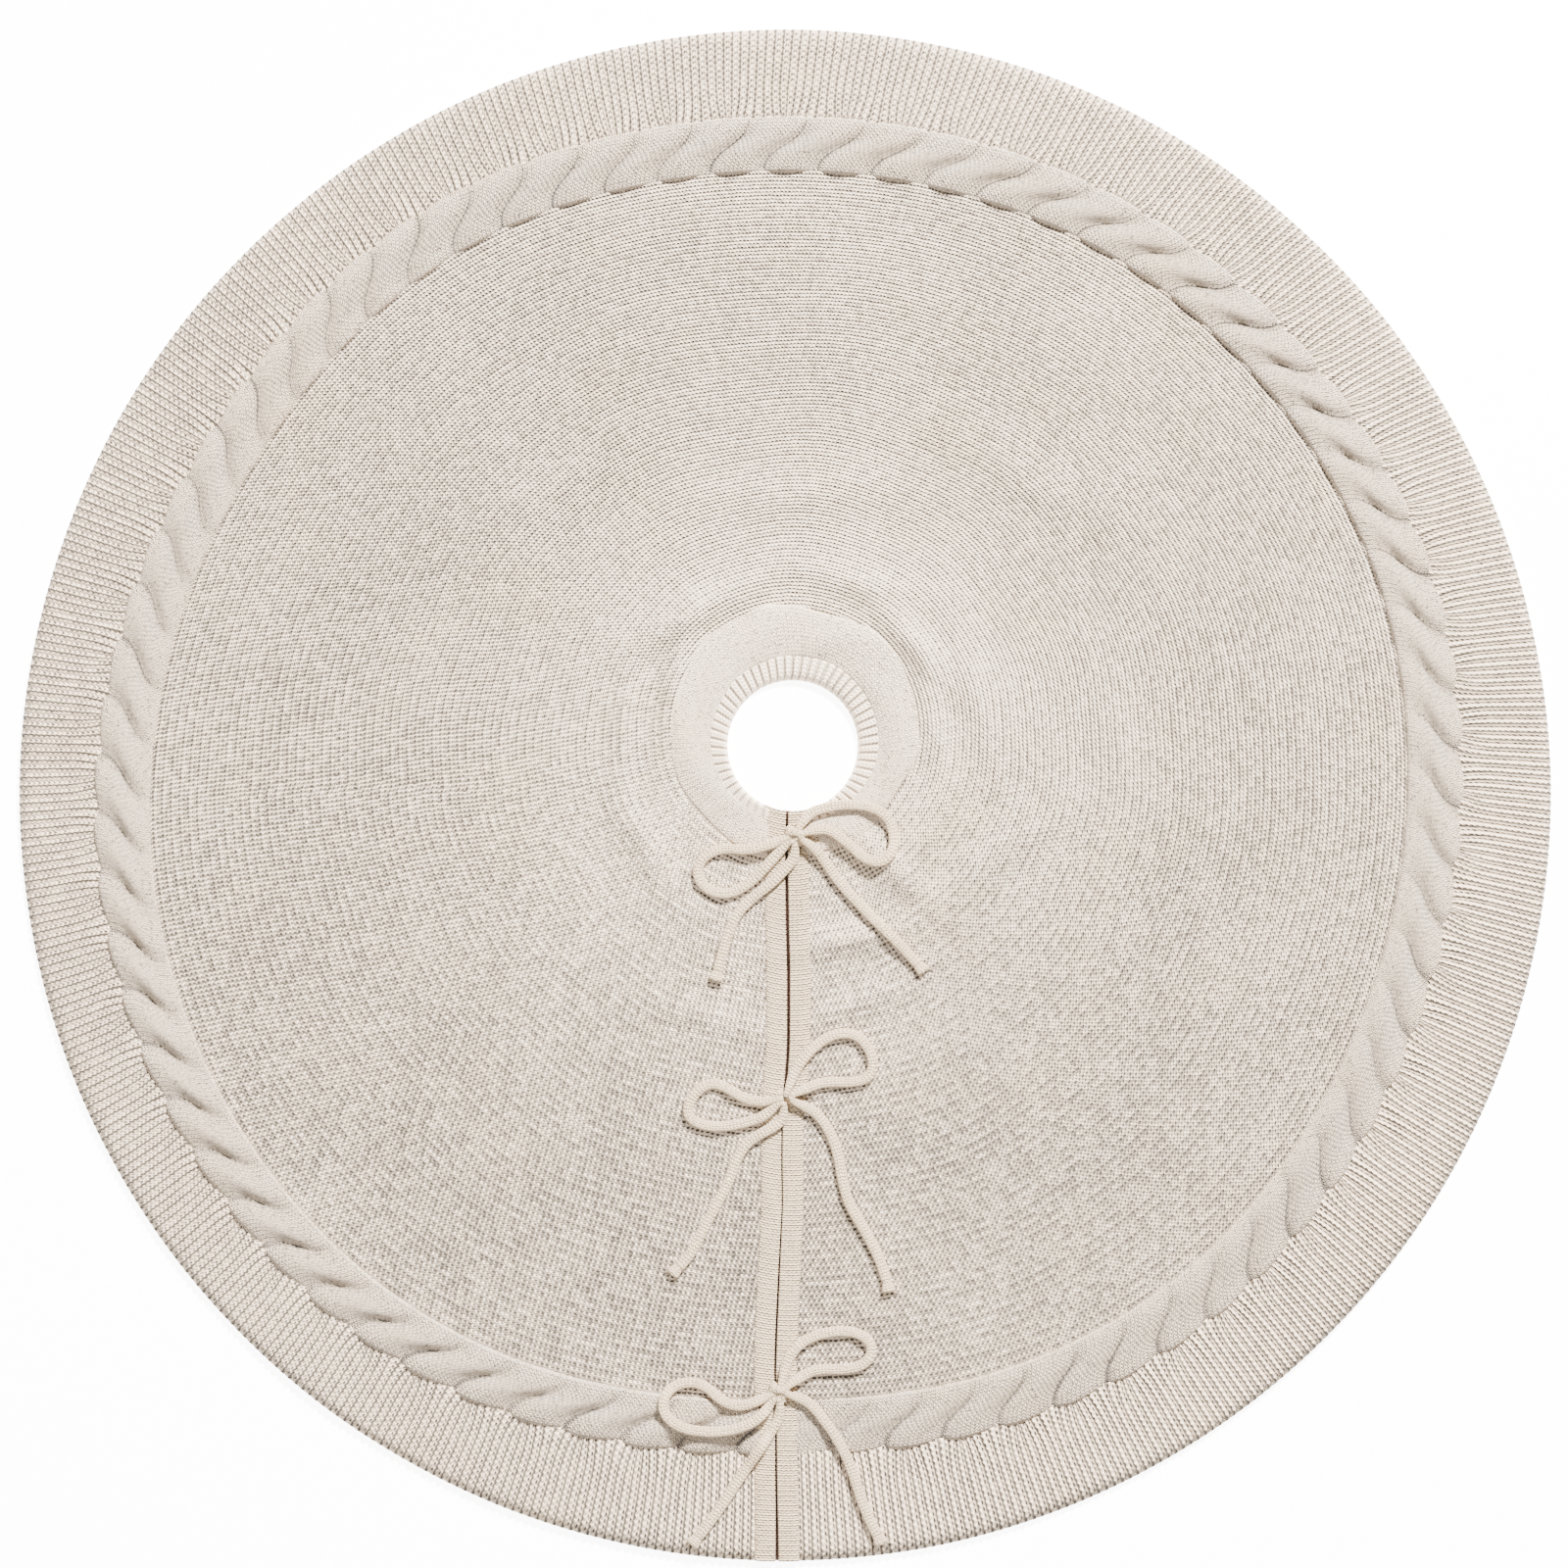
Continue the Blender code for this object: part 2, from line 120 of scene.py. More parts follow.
# The three bows: where each knot sits, and where its loops and tails lie. (X, Y), metres.
BOWS = {
    "top": {
        "knot": (0.0077, -0.0317),
        "right_loop": (
            (0.0180, -0.0152), (0.0272, -0.0112), (0.0460, -0.0075), (0.0655, -0.0083), (0.0796, -0.0153),
            (0.0866, -0.0278), (0.0866, -0.0427), (0.0796, -0.0521), (0.0702, -0.0536), (0.0608, -0.0490),
            (0.0491, -0.0380), (0.0382, -0.0294), (0.0290, -0.0262),
        ),
        "left_loop": (
            (-0.0142, -0.0400), (-0.0307, -0.0443), (-0.0494, -0.0419), (-0.0635, -0.0474),
            (-0.0705, -0.0583), (-0.0674, -0.0708), (-0.0557, -0.0787), (-0.0400, -0.0779),
            (-0.0236, -0.0662), (-0.0111, -0.0521),
        ),
        "right_tail": (
            (0.0241, -0.0425), (0.0303, -0.0510), (0.0429, -0.0693), (0.0593, -0.0873), (0.0749, -0.1029),
            (0.0929, -0.1209), (0.1085, -0.1381),
        ),
        "left_tail": (
            (0.0080, -0.0500), (-0.0002, -0.0590), (-0.0095, -0.0690), (-0.0252, -0.0810),
            (-0.0369, -0.0920), (-0.0447, -0.1076), (-0.0494, -0.1240), (-0.0549, -0.1444),
        ),
    },
    "middle": {
        "knot": (-0.0002, -0.2405),
        "right_loop": (
            (0.0085, -0.2170), (0.0225, -0.1999), (0.0389, -0.1897), (0.0554, -0.1897), (0.0663, -0.1999),
            (0.0710, -0.2139), (0.0670, -0.2249), (0.0538, -0.2288), (0.0319, -0.2280), (0.0200, -0.2315),
        ),
        "left_loop": (
            (-0.0200, -0.2445), (-0.0330, -0.2415), (-0.0455, -0.2335), (-0.0570, -0.2285),
            (-0.0690, -0.2335), (-0.0776, -0.2465), (-0.0765, -0.2570), (-0.0651, -0.2632),
            (-0.0471, -0.2640), (-0.0291, -0.2600), (-0.0165, -0.2555),
        ),
        "right_tail": (
            (0.0190, -0.2490), (0.0280, -0.2560), (0.0374, -0.2710), (0.0429, -0.2890), (0.0460, -0.3094),
            (0.0515, -0.3273), (0.0624, -0.3446), (0.0734, -0.3649), (0.0804, -0.3844), (0.0820, -0.3920),
        ),
        "left_tail": (
            (-0.0015, -0.2580), (-0.0095, -0.2640), (-0.0190, -0.2690), (-0.0307, -0.2765),
            (-0.0390, -0.2900), (-0.0455, -0.3094), (-0.0565, -0.3289), (-0.0666, -0.3485),
            (-0.0760, -0.3664), (-0.0880, -0.3790),
        ),
    },
    "bottom": {
        "knot": (-0.0048, -0.4743),
        "right_loop": (
            (0.0014, -0.4509), (0.0092, -0.4376), (0.0241, -0.4298), (0.0429, -0.4259), (0.0593, -0.4282),
            (0.0687, -0.4360), (0.0687, -0.4470), (0.0600, -0.4546), (0.0450, -0.4572), (0.0272, -0.4565),
            (0.0145, -0.4610),
        ),
        "left_loop": (
            (-0.0260, -0.4830), (-0.0369, -0.4860), (-0.0494, -0.4825), (-0.0619, -0.4712),
            (-0.0737, -0.4665), (-0.0893, -0.4697), (-0.0980, -0.4806), (-0.0950, -0.4939),
            (-0.0815, -0.5033), (-0.0588, -0.5064), (-0.0369, -0.5033), (-0.0190, -0.4945),
        ),
        "right_tail": (
            (0.0140, -0.4800), (0.0241, -0.4880), (0.0335, -0.5002), (0.0429, -0.5142), (0.0510, -0.5307),
            (0.0562, -0.5460), (0.0615, -0.5630), (0.0690, -0.5800), (0.0755, -0.5925),
        ),
        "left_tail": (
            (-0.0035, -0.4945), (-0.0140, -0.5100), (-0.0236, -0.5250), (-0.0369, -0.5440),
            (-0.0510, -0.5659), (-0.0651, -0.5846), (-0.0722, -0.5935),
        ),
    },
}

# The crossing bands of a knot: each one's places from the knot's foot, half width and half height. Metres.
KNOT_BANDS = (
    (
        (
            (-0.0080, -0.0030, 0.0068), (-0.0050, 0.0010, 0.0115), (0.0000, 0.0026, 0.0140),
            (0.0052, 0.0008, 0.0122), (0.0085, -0.0038, 0.0085),
        ),
        0.0030, 0.0018,
    ),
    (
        (
            (-0.0062, 0.0062, 0.0070), (-0.0032, 0.0040, 0.0102), (0.0006, -0.0010, 0.0118),
            (0.0030, -0.0056, 0.0100), (0.0046, -0.0088, 0.0070),
        ),
        0.0032, 0.0018,
    ),
    (
        ((-0.0070, 0.0, 0.0050), (-0.0030, 0.0, 0.0085), (0.0030, 0.0, 0.0085), (0.0070, 0.0, 0.0050)),
        0.0058, 0.0030,
    ),
)

# Soft folds in the cloth: centre X and Y, direction in degrees, half length, half width and height.
SOFT_FOLDS = (
    (-0.088, 0.085, 78, 0.060, 0.011, 0.0040),
    (-0.128, 0.040, 84, 0.055, 0.012, 0.0028),
    (-0.060, 0.150, 28, 0.060, 0.012, 0.0030),
    (0.100, 0.122, -48, 0.045, 0.012, 0.0034),
    (0.118, 0.060, -82, 0.050, 0.012, 0.0030),
    (0.150, 0.085, -75, 0.060, 0.014, 0.0026),
    (0.060, 0.168, -14, 0.050, 0.013, 0.0024),
    (0.112, -0.028, 62, 0.050, 0.012, 0.0024),
    (-0.112, -0.040, -60, 0.045, 0.012, 0.0024),
    (0.170, -0.050, 40, 0.070, 0.016, 0.0020),
    (-0.190, 0.010, 75, 0.080, 0.018, 0.0016),
    (0.020, 0.240, 4, 0.090, 0.018, 0.0014),
    (0.052, -0.115, 12, 0.040, 0.010, 0.0026),
    (0.088, -0.062, -40, 0.045, 0.012, 0.0022),
    (0.060, -0.165, 24, 0.045, 0.011, 0.0016),
    (-0.070, -0.175, -20, 0.050, 0.012, 0.0014),
    (-0.260, 0.120, 60, 0.090, 0.022, 0.0014),
    (0.260, 0.060, -70, 0.100, 0.022, 0.0014),
    (-0.160, 0.260, 32, 0.090, 0.020, 0.0013),
    (0.180, 0.260, -30, 0.090, 0.020, 0.0013),
)


# --- Plan: circles and the slit, read from the frame ---

def outer_circle(node):
    """Centre and radius of a ring's outer edge. The ring is whole at both sides and at the back."""
    low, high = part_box(node)
    radius = (high.x - low.x) / 2
    return np.array([(low.x + high.x) / 2, high.y - radius]), radius


def neck_circle():
    """Centre and radius of the trunk hole."""
    low, high = frame["record"]["physics"]["openings"][0]["box_m"]
    centre = np.array([(low[0] + high[0]) / 2, (low[1] + high[1]) / 2])
    places = np.array([vert.co[:2] for vert in frame["nodes"]["ribbed_neck_trim"].data.vertices])
    return centre, float(np.linalg.norm(places - centre, axis=1).min())


def straight_slit():
    """X at the neck end and at the rim end of the slit's middle line, with their Y."""
    left_low, left_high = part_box("left_placket")
    right_low, right_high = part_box("right_placket")
    return (left_high.y, left_high.x + STRAIGHT_HALF_GAP), (right_low.y, right_low.x - STRAIGHT_HALF_GAP)


CIRCLES = [neck_circle()] + [
    outer_circle(node)
    for node in ("ribbed_neck_trim", "stockinette_collar", "garter_field", "rope_cable", "garter_border")
]
NECK, TRIM, COLLAR, FIELD, CABLE, RIM = CIRCLES
SLIT_Y = np.linspace(-0.64, 0.04, 341)


def smooth_table(points):
    """A softened reading of given points over the slit's length."""
    raw = np.interp(SLIT_Y, *zip(*points))
    window = np.hanning(15)
    padded = np.pad(raw, 7, mode="edge")
    return np.convolve(padded, window / window.sum(), mode="valid")


def slit_line():
    (neck_y, neck_x), (rim_y, rim_x) = straight_slit()
    lean = (neck_x - rim_x) / (neck_y - rim_y)
    return rim_x + lean * (SLIT_Y - rim_y) + smooth_table(SLIT_WANDER)


SLIT_X = slit_line()
SLIT_GAP = smooth_table(SLIT_OPENING)


def slit_x(y):
    return np.interp(y, SLIT_Y, SLIT_X)


def slit_gap(y):
    return np.interp(y, SLIT_Y, SLIT_GAP)


def soft_folds(x, y):
    """Height of the soft folds and of the swell round the collar."""
    height = np.zeros_like(x)
    for fold_x, fold_y, turn, length, width, rise in SOFT_FOLDS:
        cos, sin = math.cos(math.radians(turn)), math.sin(math.radians(turn))
        along = (x - fold_x) * cos + (y - fold_y) * sin
        across = -(x - fold_x) * sin + (y - fold_y) * cos
        height += rise * np.exp(-(along / length) ** 2 - (across / width) ** 2)
    return FOLD_GAIN * height


def drape(x, y):
    """The slow rise and fall of cloth that lies loose on the floor."""
    return 0.0006 * (
        1.6 + np.sin(17 * x + 5 * y + 0.7) * np.sin(13 * y - 6 * x + 1.9)
        + 0.6 * np.sin(31 * x - 23 * y + 2.2)
    )


# --- Meshes ---

def place_piece(name, mesh, finish, replaced):
    """A finished mesh as a piece that rides with the skirt and stands for its plain solids."""
    mesh.materials.append(finish)
    mesh.shade_smooth()
    piece = bpy.data.objects.new(name, mesh)
    bpy.context.scene.collection.objects.link(piece)
    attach(piece, BODY)
    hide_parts(*replaced)
    return piece


def bent_grid(name, columns, rows, shape, stitches):
    """A grid whose places come from shape(around, across) and whose stitch map comes from stitches(...)."""
    flat = bmesh.new()
    bmesh.ops.create_grid(flat, x_segments=columns, y_segments=rows, size=0.5)
    mesh = bpy.data.meshes.new(name)
    flat.to_mesh(mesh)
    flat.free()
    grid = np.empty(len(mesh.vertices) * 3)
    mesh.vertices.foreach_get("co", grid)
    grid = grid.reshape(-1, 3)
    around = np.round((grid[:, 0] + 0.5) * columns) / columns
    across = np.round((grid[:, 1] + 0.5) * rows) / rows
    mesh.vertices.foreach_set("co", np.stack(shape(around, across), axis=1).ravel())
    corners = np.empty(len(mesh.loops), dtype=np.int64)
    mesh.loops.foreach_get("vertex_index", corners)
    layer = mesh.uv_layers.new(name=UV_NAME)
    layer.data.foreach_set("uv", np.stack(stitches(around, across), axis=1)[corners].ravel())
    mesh.update()
    return mesh


def face_up(mesh):
    """Turns an open sheet over if it faces the floor."""
    normals = np.empty(len(mesh.polygons) * 3)
    mesh.polygons.foreach_get("normal", normals)
    if normals[2::3].mean() < 0:
        mesh.flip_normals()


def give_thickness(piece, thickness):
    wall = piece.modifiers.new("Thickness", "SOLIDIFY")
    wall.thickness = thickness
    wall.offset = -1
    wall.use_even_offset = False
    wall.use_rim = True


def ring_plan(inner, outer, around, across, offset, edge_push=0.0):
    """X and Y on a ring that opens at the slit. offset is each end's distance from the slit's middle."""
    centre = inner[0] + np.outer(across, outer[0] - inner[0])
    radius = inner[1] + across * (outer[1] - inner[1]) + edge_push
    ends = []
    for side in (1, -1):
        x = centre[:, 0]
        for _ in range(12):
            y = centre[:, 1] - np.sqrt(np.maximum(radius ** 2 - (x - centre[:, 0]) ** 2, 0))
            x = slit_x(y) + side * (slit_gap(y) / 2 + offset)
        ends.append(np.arctan2(y - centre[:, 1], x - centre[:, 0]))
    first, last = ends[0], ends[1] + math.tau
    angle = first + (last - first) * around
    return centre[:, 0] + radius * np.cos(angle), centre[:, 1] + radius * np.sin(angle)


def cable_wander(angle):
    """How far the cable strays outward from its circle at each angle, in radians."""
    degrees, strays = zip(*CABLE_WANDER)
    turned = (np.degrees(angle) + 90) % 360 - 90
    spread = np.radians(4)
    total = np.zeros_like(angle)
    for step, weight in ((-2, 1), (-1, 2), (0, 3), (1, 2), (2, 1)):
        total += weight * np.interp(turned + np.degrees(step * spread), degrees, strays)
    return total / 9


def around_from(circle, x, y):
    """Angle of each place round a circle's centre."""
    return np.arctan2(y - circle[0][1], x - circle[0][0])


def stray(circle, share, x, y):
    """Moves places outward with the cable's wander, by a share of it."""
    angle = around_from(circle, x, y)
    push = share * cable_wander(angle)
    return x + push * np.cos(angle), y + push * np.sin(angle)


def weld(mesh):
    """Joins places that lie on each other and turns every face outward."""
    shape = bmesh.new()
    shape.from_mesh(mesh)
    bmesh.ops.remove_doubles(shape, verts=shape.verts, dist=1e-6)
    bmesh.ops.recalc_face_normals(shape, faces=shape.faces)
    shape.to_mesh(mesh)
    shape.free()


def tube(name, path, half_width, half_height, sides, stitches):
    """A closed, flattened tube along a path, broad side up. Its ends are drawn to a point each."""
    path = np.asarray(path, dtype=float)
    count = len(path)
    ahead = np.gradient(path, axis=0)
    ahead /= np.linalg.norm(ahead, axis=1)[:, None]
    side = np.cross(ahead, np.tile((0.0, 0.0, 1.0), (count, 1)))
    side /= np.linalg.norm(side, axis=1)[:, None]
    up = np.cross(side, ahead)
    wide = np.broadcast_to(half_width, count)
    high = np.broadcast_to(half_height, count)
    rows = count + 1
    length = np.concatenate([[0], np.cumsum(np.linalg.norm(np.diff(path, axis=0), axis=1))])

    def shape(around, across):
        row = np.round(across * rows).astype(int)
        ring = np.clip(row - 1, 0, count - 1)
        size = np.where((row == 0) | (row == rows), 0.0, 1.0)
        angle = math.tau * around
        cos, sin = np.cos(angle), np.sin(angle)
        flat = np.sign(cos) * np.abs(cos) ** 0.85 * wide[ring] * size
        tall = np.sign(sin) * np.abs(sin) ** 0.75 * high[ring] * size
        places = path[ring] + side[ring] * flat[:, None] + up[ring] * tall[:, None]
        return places.T

    def chart(around, across):
        ring = np.clip(np.round(across * rows).astype(int) - 1, 0, count - 1)
        return stitches(around, length[ring])

    mesh = bent_grid(name, sides, rows, shape, chart)
    weld(mesh)
    return mesh


def knit_chart(columns, course):
    """The stitch map of a tube, from its columns all round and the length of one course."""
    return lambda around, length: (around * columns, length / course)


# --- Finishes ---

class Wire:
    """An output in a finish's node tree. Sums written with it become Math nodes."""

    def __init__(self, tree, socket=None):
        self.tree = tree
        self.socket = socket

    def node(self, kind, settings=None, values=None, output=0):
        """Adds any node: its settings first, then its values and links."""
        made = self.tree.nodes.new(kind)
        for name, value in (settings or {}).items():
            setattr(made, name, value)
        for name, value in (values or {}).items():
            if isinstance(value, Wire):
                self.tree.links.new(value.socket, made.inputs[name])
            else:
                made.inputs[name].default_value = value
        return Wire(self.tree, made.outputs[output])

    def other(self, output):
        """Another output of the same node."""
        return Wire(self.tree, self.socket.node.outputs[output])

    def maths(self, operation, first, second=None):
        values = {0: first} if second is None else {0: first, 1: second}
        return self.node("ShaderNodeMath", {"operation": operation}, values)

    def __add__(self, other):
        return self.maths("ADD", self, other)

    __radd__ = __add__

    def __mul__(self, other):
        return self.maths("MULTIPLY", self, other)

    __rmul__ = __mul__

    def __sub__(self, other):
        return self.maths("SUBTRACT", self, other)

    def __rsub__(self, other):
        return self.maths("SUBTRACT", other, self)

    def __truediv__(self, other):
        return self.maths("DIVIDE", self, other)

    def __pow__(self, power):
        return self.maths("POWER", self, power)

    def floor(self):
        return self.maths("FLOOR", self)

    def fract(self):
        return self.maths("FRACT", self)

    def absolute(self):
        return self.maths("ABSOLUTE", self)

    def sine(self):
        return self.maths("SINE", self)

    def bell(self, width):
        """1 at zero, falling away over the width."""
        scaled = self / width
        return self.maths("EXPONENT", scaled * scaled * -1)

    def held(self, low, high):
        """0 below low, 1 above high and straight between."""
        return self.node(
            "ShaderNodeMapRange", {"clamp": True}, {"Value": self, "From Min": low, "From Max": high}
        )

    def shifted(self, x, y, z):
        """The same place in another part of space, for a noise of its own."""
        return self.node("ShaderNodeVectorMath", {"operation": "ADD"}, {0: self, 1: (x, y, z)})

    def noise(self, scale, detail=2.0, where=None):
        values = {"Scale": scale, "Detail": detail}
        if where is not None:
            values["Vector"] = where
        return self.node("ShaderNodeTexNoise", {"noise_dimensions": "3D"}, values)

    def blend(self, factor, first, second, how="MIX"):
        """Two colours mixed."""
        mix = self.node("ShaderNodeMix", {"data_type": "RGBA", "blend_type": how})
        for index, value in ((0, factor), (6, first), (7, second)):
            if isinstance(value, Wire):
                self.tree.links.new(value.socket, mix.socket.node.inputs[index])
            else:
                mix.socket.node.inputs[index].default_value = value
        return mix.other(2)


def colour(values):
    return (*values, 1.0)


def new_finish(name):
    """A blank finish, with the wires for places in the row frame and for the stitch map."""
    finish = bpy.data.materials.new(name)
    finish.use_nodes = True
    tree = finish.node_tree
    tree.nodes.clear()
    start = Wire(tree)
    place = start.node("ShaderNodeTexCoord", output="Object")
    chart = start.node("ShaderNodeUVMap", {"uv_map": UV_NAME})
    parts = start.node("ShaderNodeSeparateXYZ", None, {0: chart})
    return finish, place, parts, parts.other("Y")


def close_finish(finish, base, height, depth, roughness=0.9):
    """Joins colour and relief to the yarn's surface."""
    wire = Wire(finish.node_tree)
    bump = wire.node("ShaderNodeBump", None, {"Strength": 1.0, "Distance": depth, "Height": height})
    surface = wire.node(
        "ShaderNodeBsdfPrincipled", None,
        {"Base Color": base, "Roughness": roughness, "Specular IOR Level": 0.2, "Sheen Weight": 0.15,
         "Sheen Roughness": 0.5, "Normal": bump},
    )
    last = finish.node_tree.nodes.new("ShaderNodeOutputMaterial")
    finish.node_tree.links.new(surface.socket, last.inputs["Surface"])


def yarn_base(place, looks, tint):
    """The yarn's own colour with its slow drift to yellow, pink and grey."""
    base = tuple(a * b for a, b in zip(looks.yarn_colour, tint))
    warm = place.noise(11.0, 3.0, place).held(0.52, 0.72)
    rosy = place.noise(17.0, 2.0, place.shifted(3, 5, 1))
    tone = place.blend(warm * 0.8, colour(base), colour((base[0], base[1] * 0.975, base[2] * 0.90)))
    return place.blend(rosy.held(0.55, 0.75) * 0.7, tone, colour((base[0], base[1] * 0.955, base[2] * 0.93)))


def garter_finish(
    name, looks, tint, stitches, lean=0.0, pit=1.0, valley=0.0, calm=0.0, loose=1.0, depth=0.0013
):
    """Garter knitting. The map holds the share of the way round and the course, two courses to a ridge.
    stitches is the first course's count and how many each course adds, so the columns of stitches drift
    apart and lean as the cloth widens. Over the first calm courses the stitches lie closer and smoother."""
    finish, place, share, course = new_finish(name)
    jitter = place.noise(210.0, 1.0, place)
    wobble = place.noise(150.0, 1.0, place.shifted(7, 1, 4))
    course = course + (wobble - 0.5) * (0.42 * loose)
    row = course.floor()
    count = row * stitches[1] + stitches[0]
    along = share * count + (row * 0.5) + (jitter - 0.5) * (0.55 * loose)
    if lean:
        along = along + (share * math.tau).sine() * row * lean
    across = course.fract() - 0.5
    cell = (along.fract() - 0.5) + across * 0.35
    dice = place.node(
        "ShaderNodeTexWhiteNoise", {"noise_dimensions": "3D"},
        {"Vector": place.node("ShaderNodeCombineXYZ", None, {"X": along.floor(), "Y": row})},
    )
    patches = place.noise(9.0, 3.0, place).held(0.32, 0.66)
    paired = (row * 0.5).fract() * 0.8 + 0.70
    strength = (dice * 0.95 + 0.50) * (patches * 0.26 + 0.80) * paired
    if calm:
        strength = strength * (row.held(0.0, calm) * 0.45 + 0.55)
    hole = (cell + across * 0.3).bell(0.26) * (across + 0.18 - cell * 0.18).bell(0.23)
    arch = (across - 0.12 + cell * cell * 1.2).bell(0.27) * cell.bell(0.50)
    fibre = place.noise(1300.0, 2.0, place)
    # Painted shade: the holes and the hollows round each stitch's arch are darkened towards the stitch shadow
    # colour.
    shade = hole * strength * (pit * 3.0) + (1.0 - arch) * (strength * 0.52 + 0.22) * pit
    shade = shade + (fibre - 0.5) * 0.3
    height = arch * 1.15 - hole * strength * 0.7 + fibre * 0.14
    if valley:
        # Painted shade in the valleys between the ridges, which also sink a little.
        between = ((course * 0.5).fract() - 0.5).absolute().held(0.30, 0.5)
        shade = shade + between * valley
        height = height - between * 0.5
    tone = yarn_base(place, looks, tint)
    base = place.blend(shade.held(0.02, 1.0), tone, colour(looks.shade_colour))
    close_finish(finish, base, height, depth)
    return finish


def stocking_finish(name, looks, tint, depth=0.0012, groove=0.35, slant=1.6, rope=None):
    """Plain knitting: columns of V stitches. The map counts columns across and courses along. rope is a
    cable's count of columns from one crease to the next, its count of lobes and its count of courses."""
    finish, place, column, course = new_finish(name)
    jitter = place.noise(260.0, 1.0, place)
    lobe = column / rope[0] if rope else 0.0
    column = column + (jitter - 0.5) * 0.45
    leg = (column.fract() - 0.5).absolute()
    phase = (course + leg * slant + (jitter - 0.5) * 0.7).fract() - 0.5
    stroke = phase.bell(0.30) * (leg - 0.25).bell(0.20)
    fibre = place.noise(1300.0, 2.0, place)
    tone = yarn_base(place, looks, tint)
    # Painted shade in the grooves between the V strokes, stronger in random patches.
    groove_shade_patches = place.noise(420.0, 1.0, place.shifted(2, 9, 3)).held(0.50, 0.72)
    dark = (0.62 - stroke).held(0.0, 0.62) * groove * (groove_shade_patches * 0.8 + 0.35) + (fibre - 0.5) * 0.15
    if rope:
        # Painted shade along the cable's creases and on the lobes' flanks near them. It lies on the half of
        # the rope that the light leaves in shade: mostly the outer half, and the inner half at the back.
        side = course / rope[2]
        back = (lobe / rope[1] - CABLE_BACK).bell(CABLE_BACK_REACH)
        shaded_half = side.held(0.0, 0.5) * (1.0 - back) + (1.1 - side).held(0.0, 0.5) * back
        middle = (lobe.fract() - 0.5).absolute()
        patches = place.noise(14.0, 1.0, place).held(0.35, 0.65)
        crease = middle.held(0.45, 0.5) * (patches * 0.60 + 0.10)
        dark = dark + (crease + middle.held(0.24, 0.5) ** 2 * 0.30) * shaded_half * lobe.held(0.5, 1.5)
    base = place.blend(dark.held(0.0, 1.0), tone, colour(looks.shade_colour))
    close_finish(finish, base, stroke + fibre * 0.12, depth)
    return finish


# --- The skirt's pieces ---

def ring_ends():
    """How far the rings stop from the slit's edge: just under the plackets' outer edges."""
    return PLACKET_WIDTH - RING_UNDER_PLACKET


def put_trim(sizes, looks):
    ribs = sizes.trim_ribs

    def shape(around, across):
        x, y = ring_plan(NECK, TRIM, around, across, 0.012)
        rib = np.abs(np.sin(math.pi * ribs * around)) ** 0.7
        rise = np.clip(across / 0.25, 0, 1) ** 0.5
        z = 0.0014 + 0.0054 * rise * (0.80 + 0.20 * rib * (1 - across ** 4)) + drape(x, y)
        return x, y, z

    mesh = bent_grid("neck_trim", ribs * 8, 12, shape, lambda around, across: (ribs * around, across * 6))
    face_up(mesh)
    finish = rib_finish("ribbed knit", looks)
    piece = place_piece("neck_trim", mesh, finish, ["ribbed_neck_trim"])
    give_thickness(piece, 0.0035)
    size = 2 * TRIM[1]
    math.pi * (TRIM[1] ** 2 - NECK[1] ** 2)


def put_collar(looks):
    def shape(around, across):
        x, y = ring_plan(tucked(TRIM, -0.003), tucked(COLLAR, 0.001), around, across, ring_ends())
        angle = around_from(COLLAR, x, y)
        push = across ** 2 * (0.0026 * np.sin(3 * angle + 0.6) + 0.0018 * np.sin(7 * angle + 2.0))
        x, y = x + push * np.cos(angle), y + push * np.sin(angle)
        swell = np.sin(math.pi * np.clip(across, 0, 1)) ** 0.6
        ripple = 0.0009 * np.sin(7 * math.tau * around + 5 * across + 2 * np.sin(11 * around)) * swell
        z = 0.0049 + 0.0034 * swell + ripple + drape(x, y) + 0.6 * soft_folds(x, y)
        return x, y, z

    mesh = bent_grid("plain_collar", 360, 26, shape, lambda around, across: (150 * around, across * 14))
    face_up(mesh)
    piece = place_piece(
        "plain_collar", mesh, stocking_finish("plain knit", looks, (0.93, 0.925, 0.92), 0.0014, 0.95),
        ["stockinette_collar"],
    )
    give_thickness(piece, 0.004)
    size = 2 * COLLAR[1]
    math.pi * (COLLAR[1] ** 2 - TRIM[1] ** 2)


def put_field(sizes, looks):
    ridges = sizes.field_ridges

    def shape(around, across):
        x, y = ring_plan(
            tucked(COLLAR, -FIELD_UNDER_COLLAR), tucked(FIELD, RING_UNDER_CABLE), around, across, ring_ends()
        )
        x, y = stray(CABLE, across ** 2, x, y)
        angle = around_from(FIELD, x, y)
        push = 0.0016 * np.sin(12.5 * angle + 1.2 + 3 * across) * np.sin(math.pi * across)
        x, y = x + push * np.cos(angle), y + push * np.sin(angle)
        ridge = 0.0003 * np.cos(math.tau * ridges * across)
        under = -0.0022 * np.clip((across - 0.992) / 0.008, 0, 1)
        under = under - 0.0024 * np.clip((0.012 - across) / 0.012, 0, 1)
        z = 0.0050 + ridge + under + drape(x, y) + soft_folds(x, y)
        return x, y, z

    courses = ridges * 2
    mesh = bent_grid("garter_cloth", 384, courses, shape, lambda around, across: (around, across * courses))
    face_up(mesh)
    ends = math.tau * np.array([COLLAR[1], FIELD[1]]) / sizes.stitch_width
    step = (ends[1] - ends[0]) / courses
    finish = garter_finish(
        "garter knit", looks, (1.0, 1.0, 1.0), (float(ends[0]), float(step)), lean=-0.20, calm=70.0
    )
    piece = place_piece("garter_cloth", mesh, finish, ["garter_field"])
    give_thickness(piece, 0.0034)
    size = 2 * FIELD[1]
    math.pi * (FIELD[1] ** 2 - COLLAR[1] ** 2)


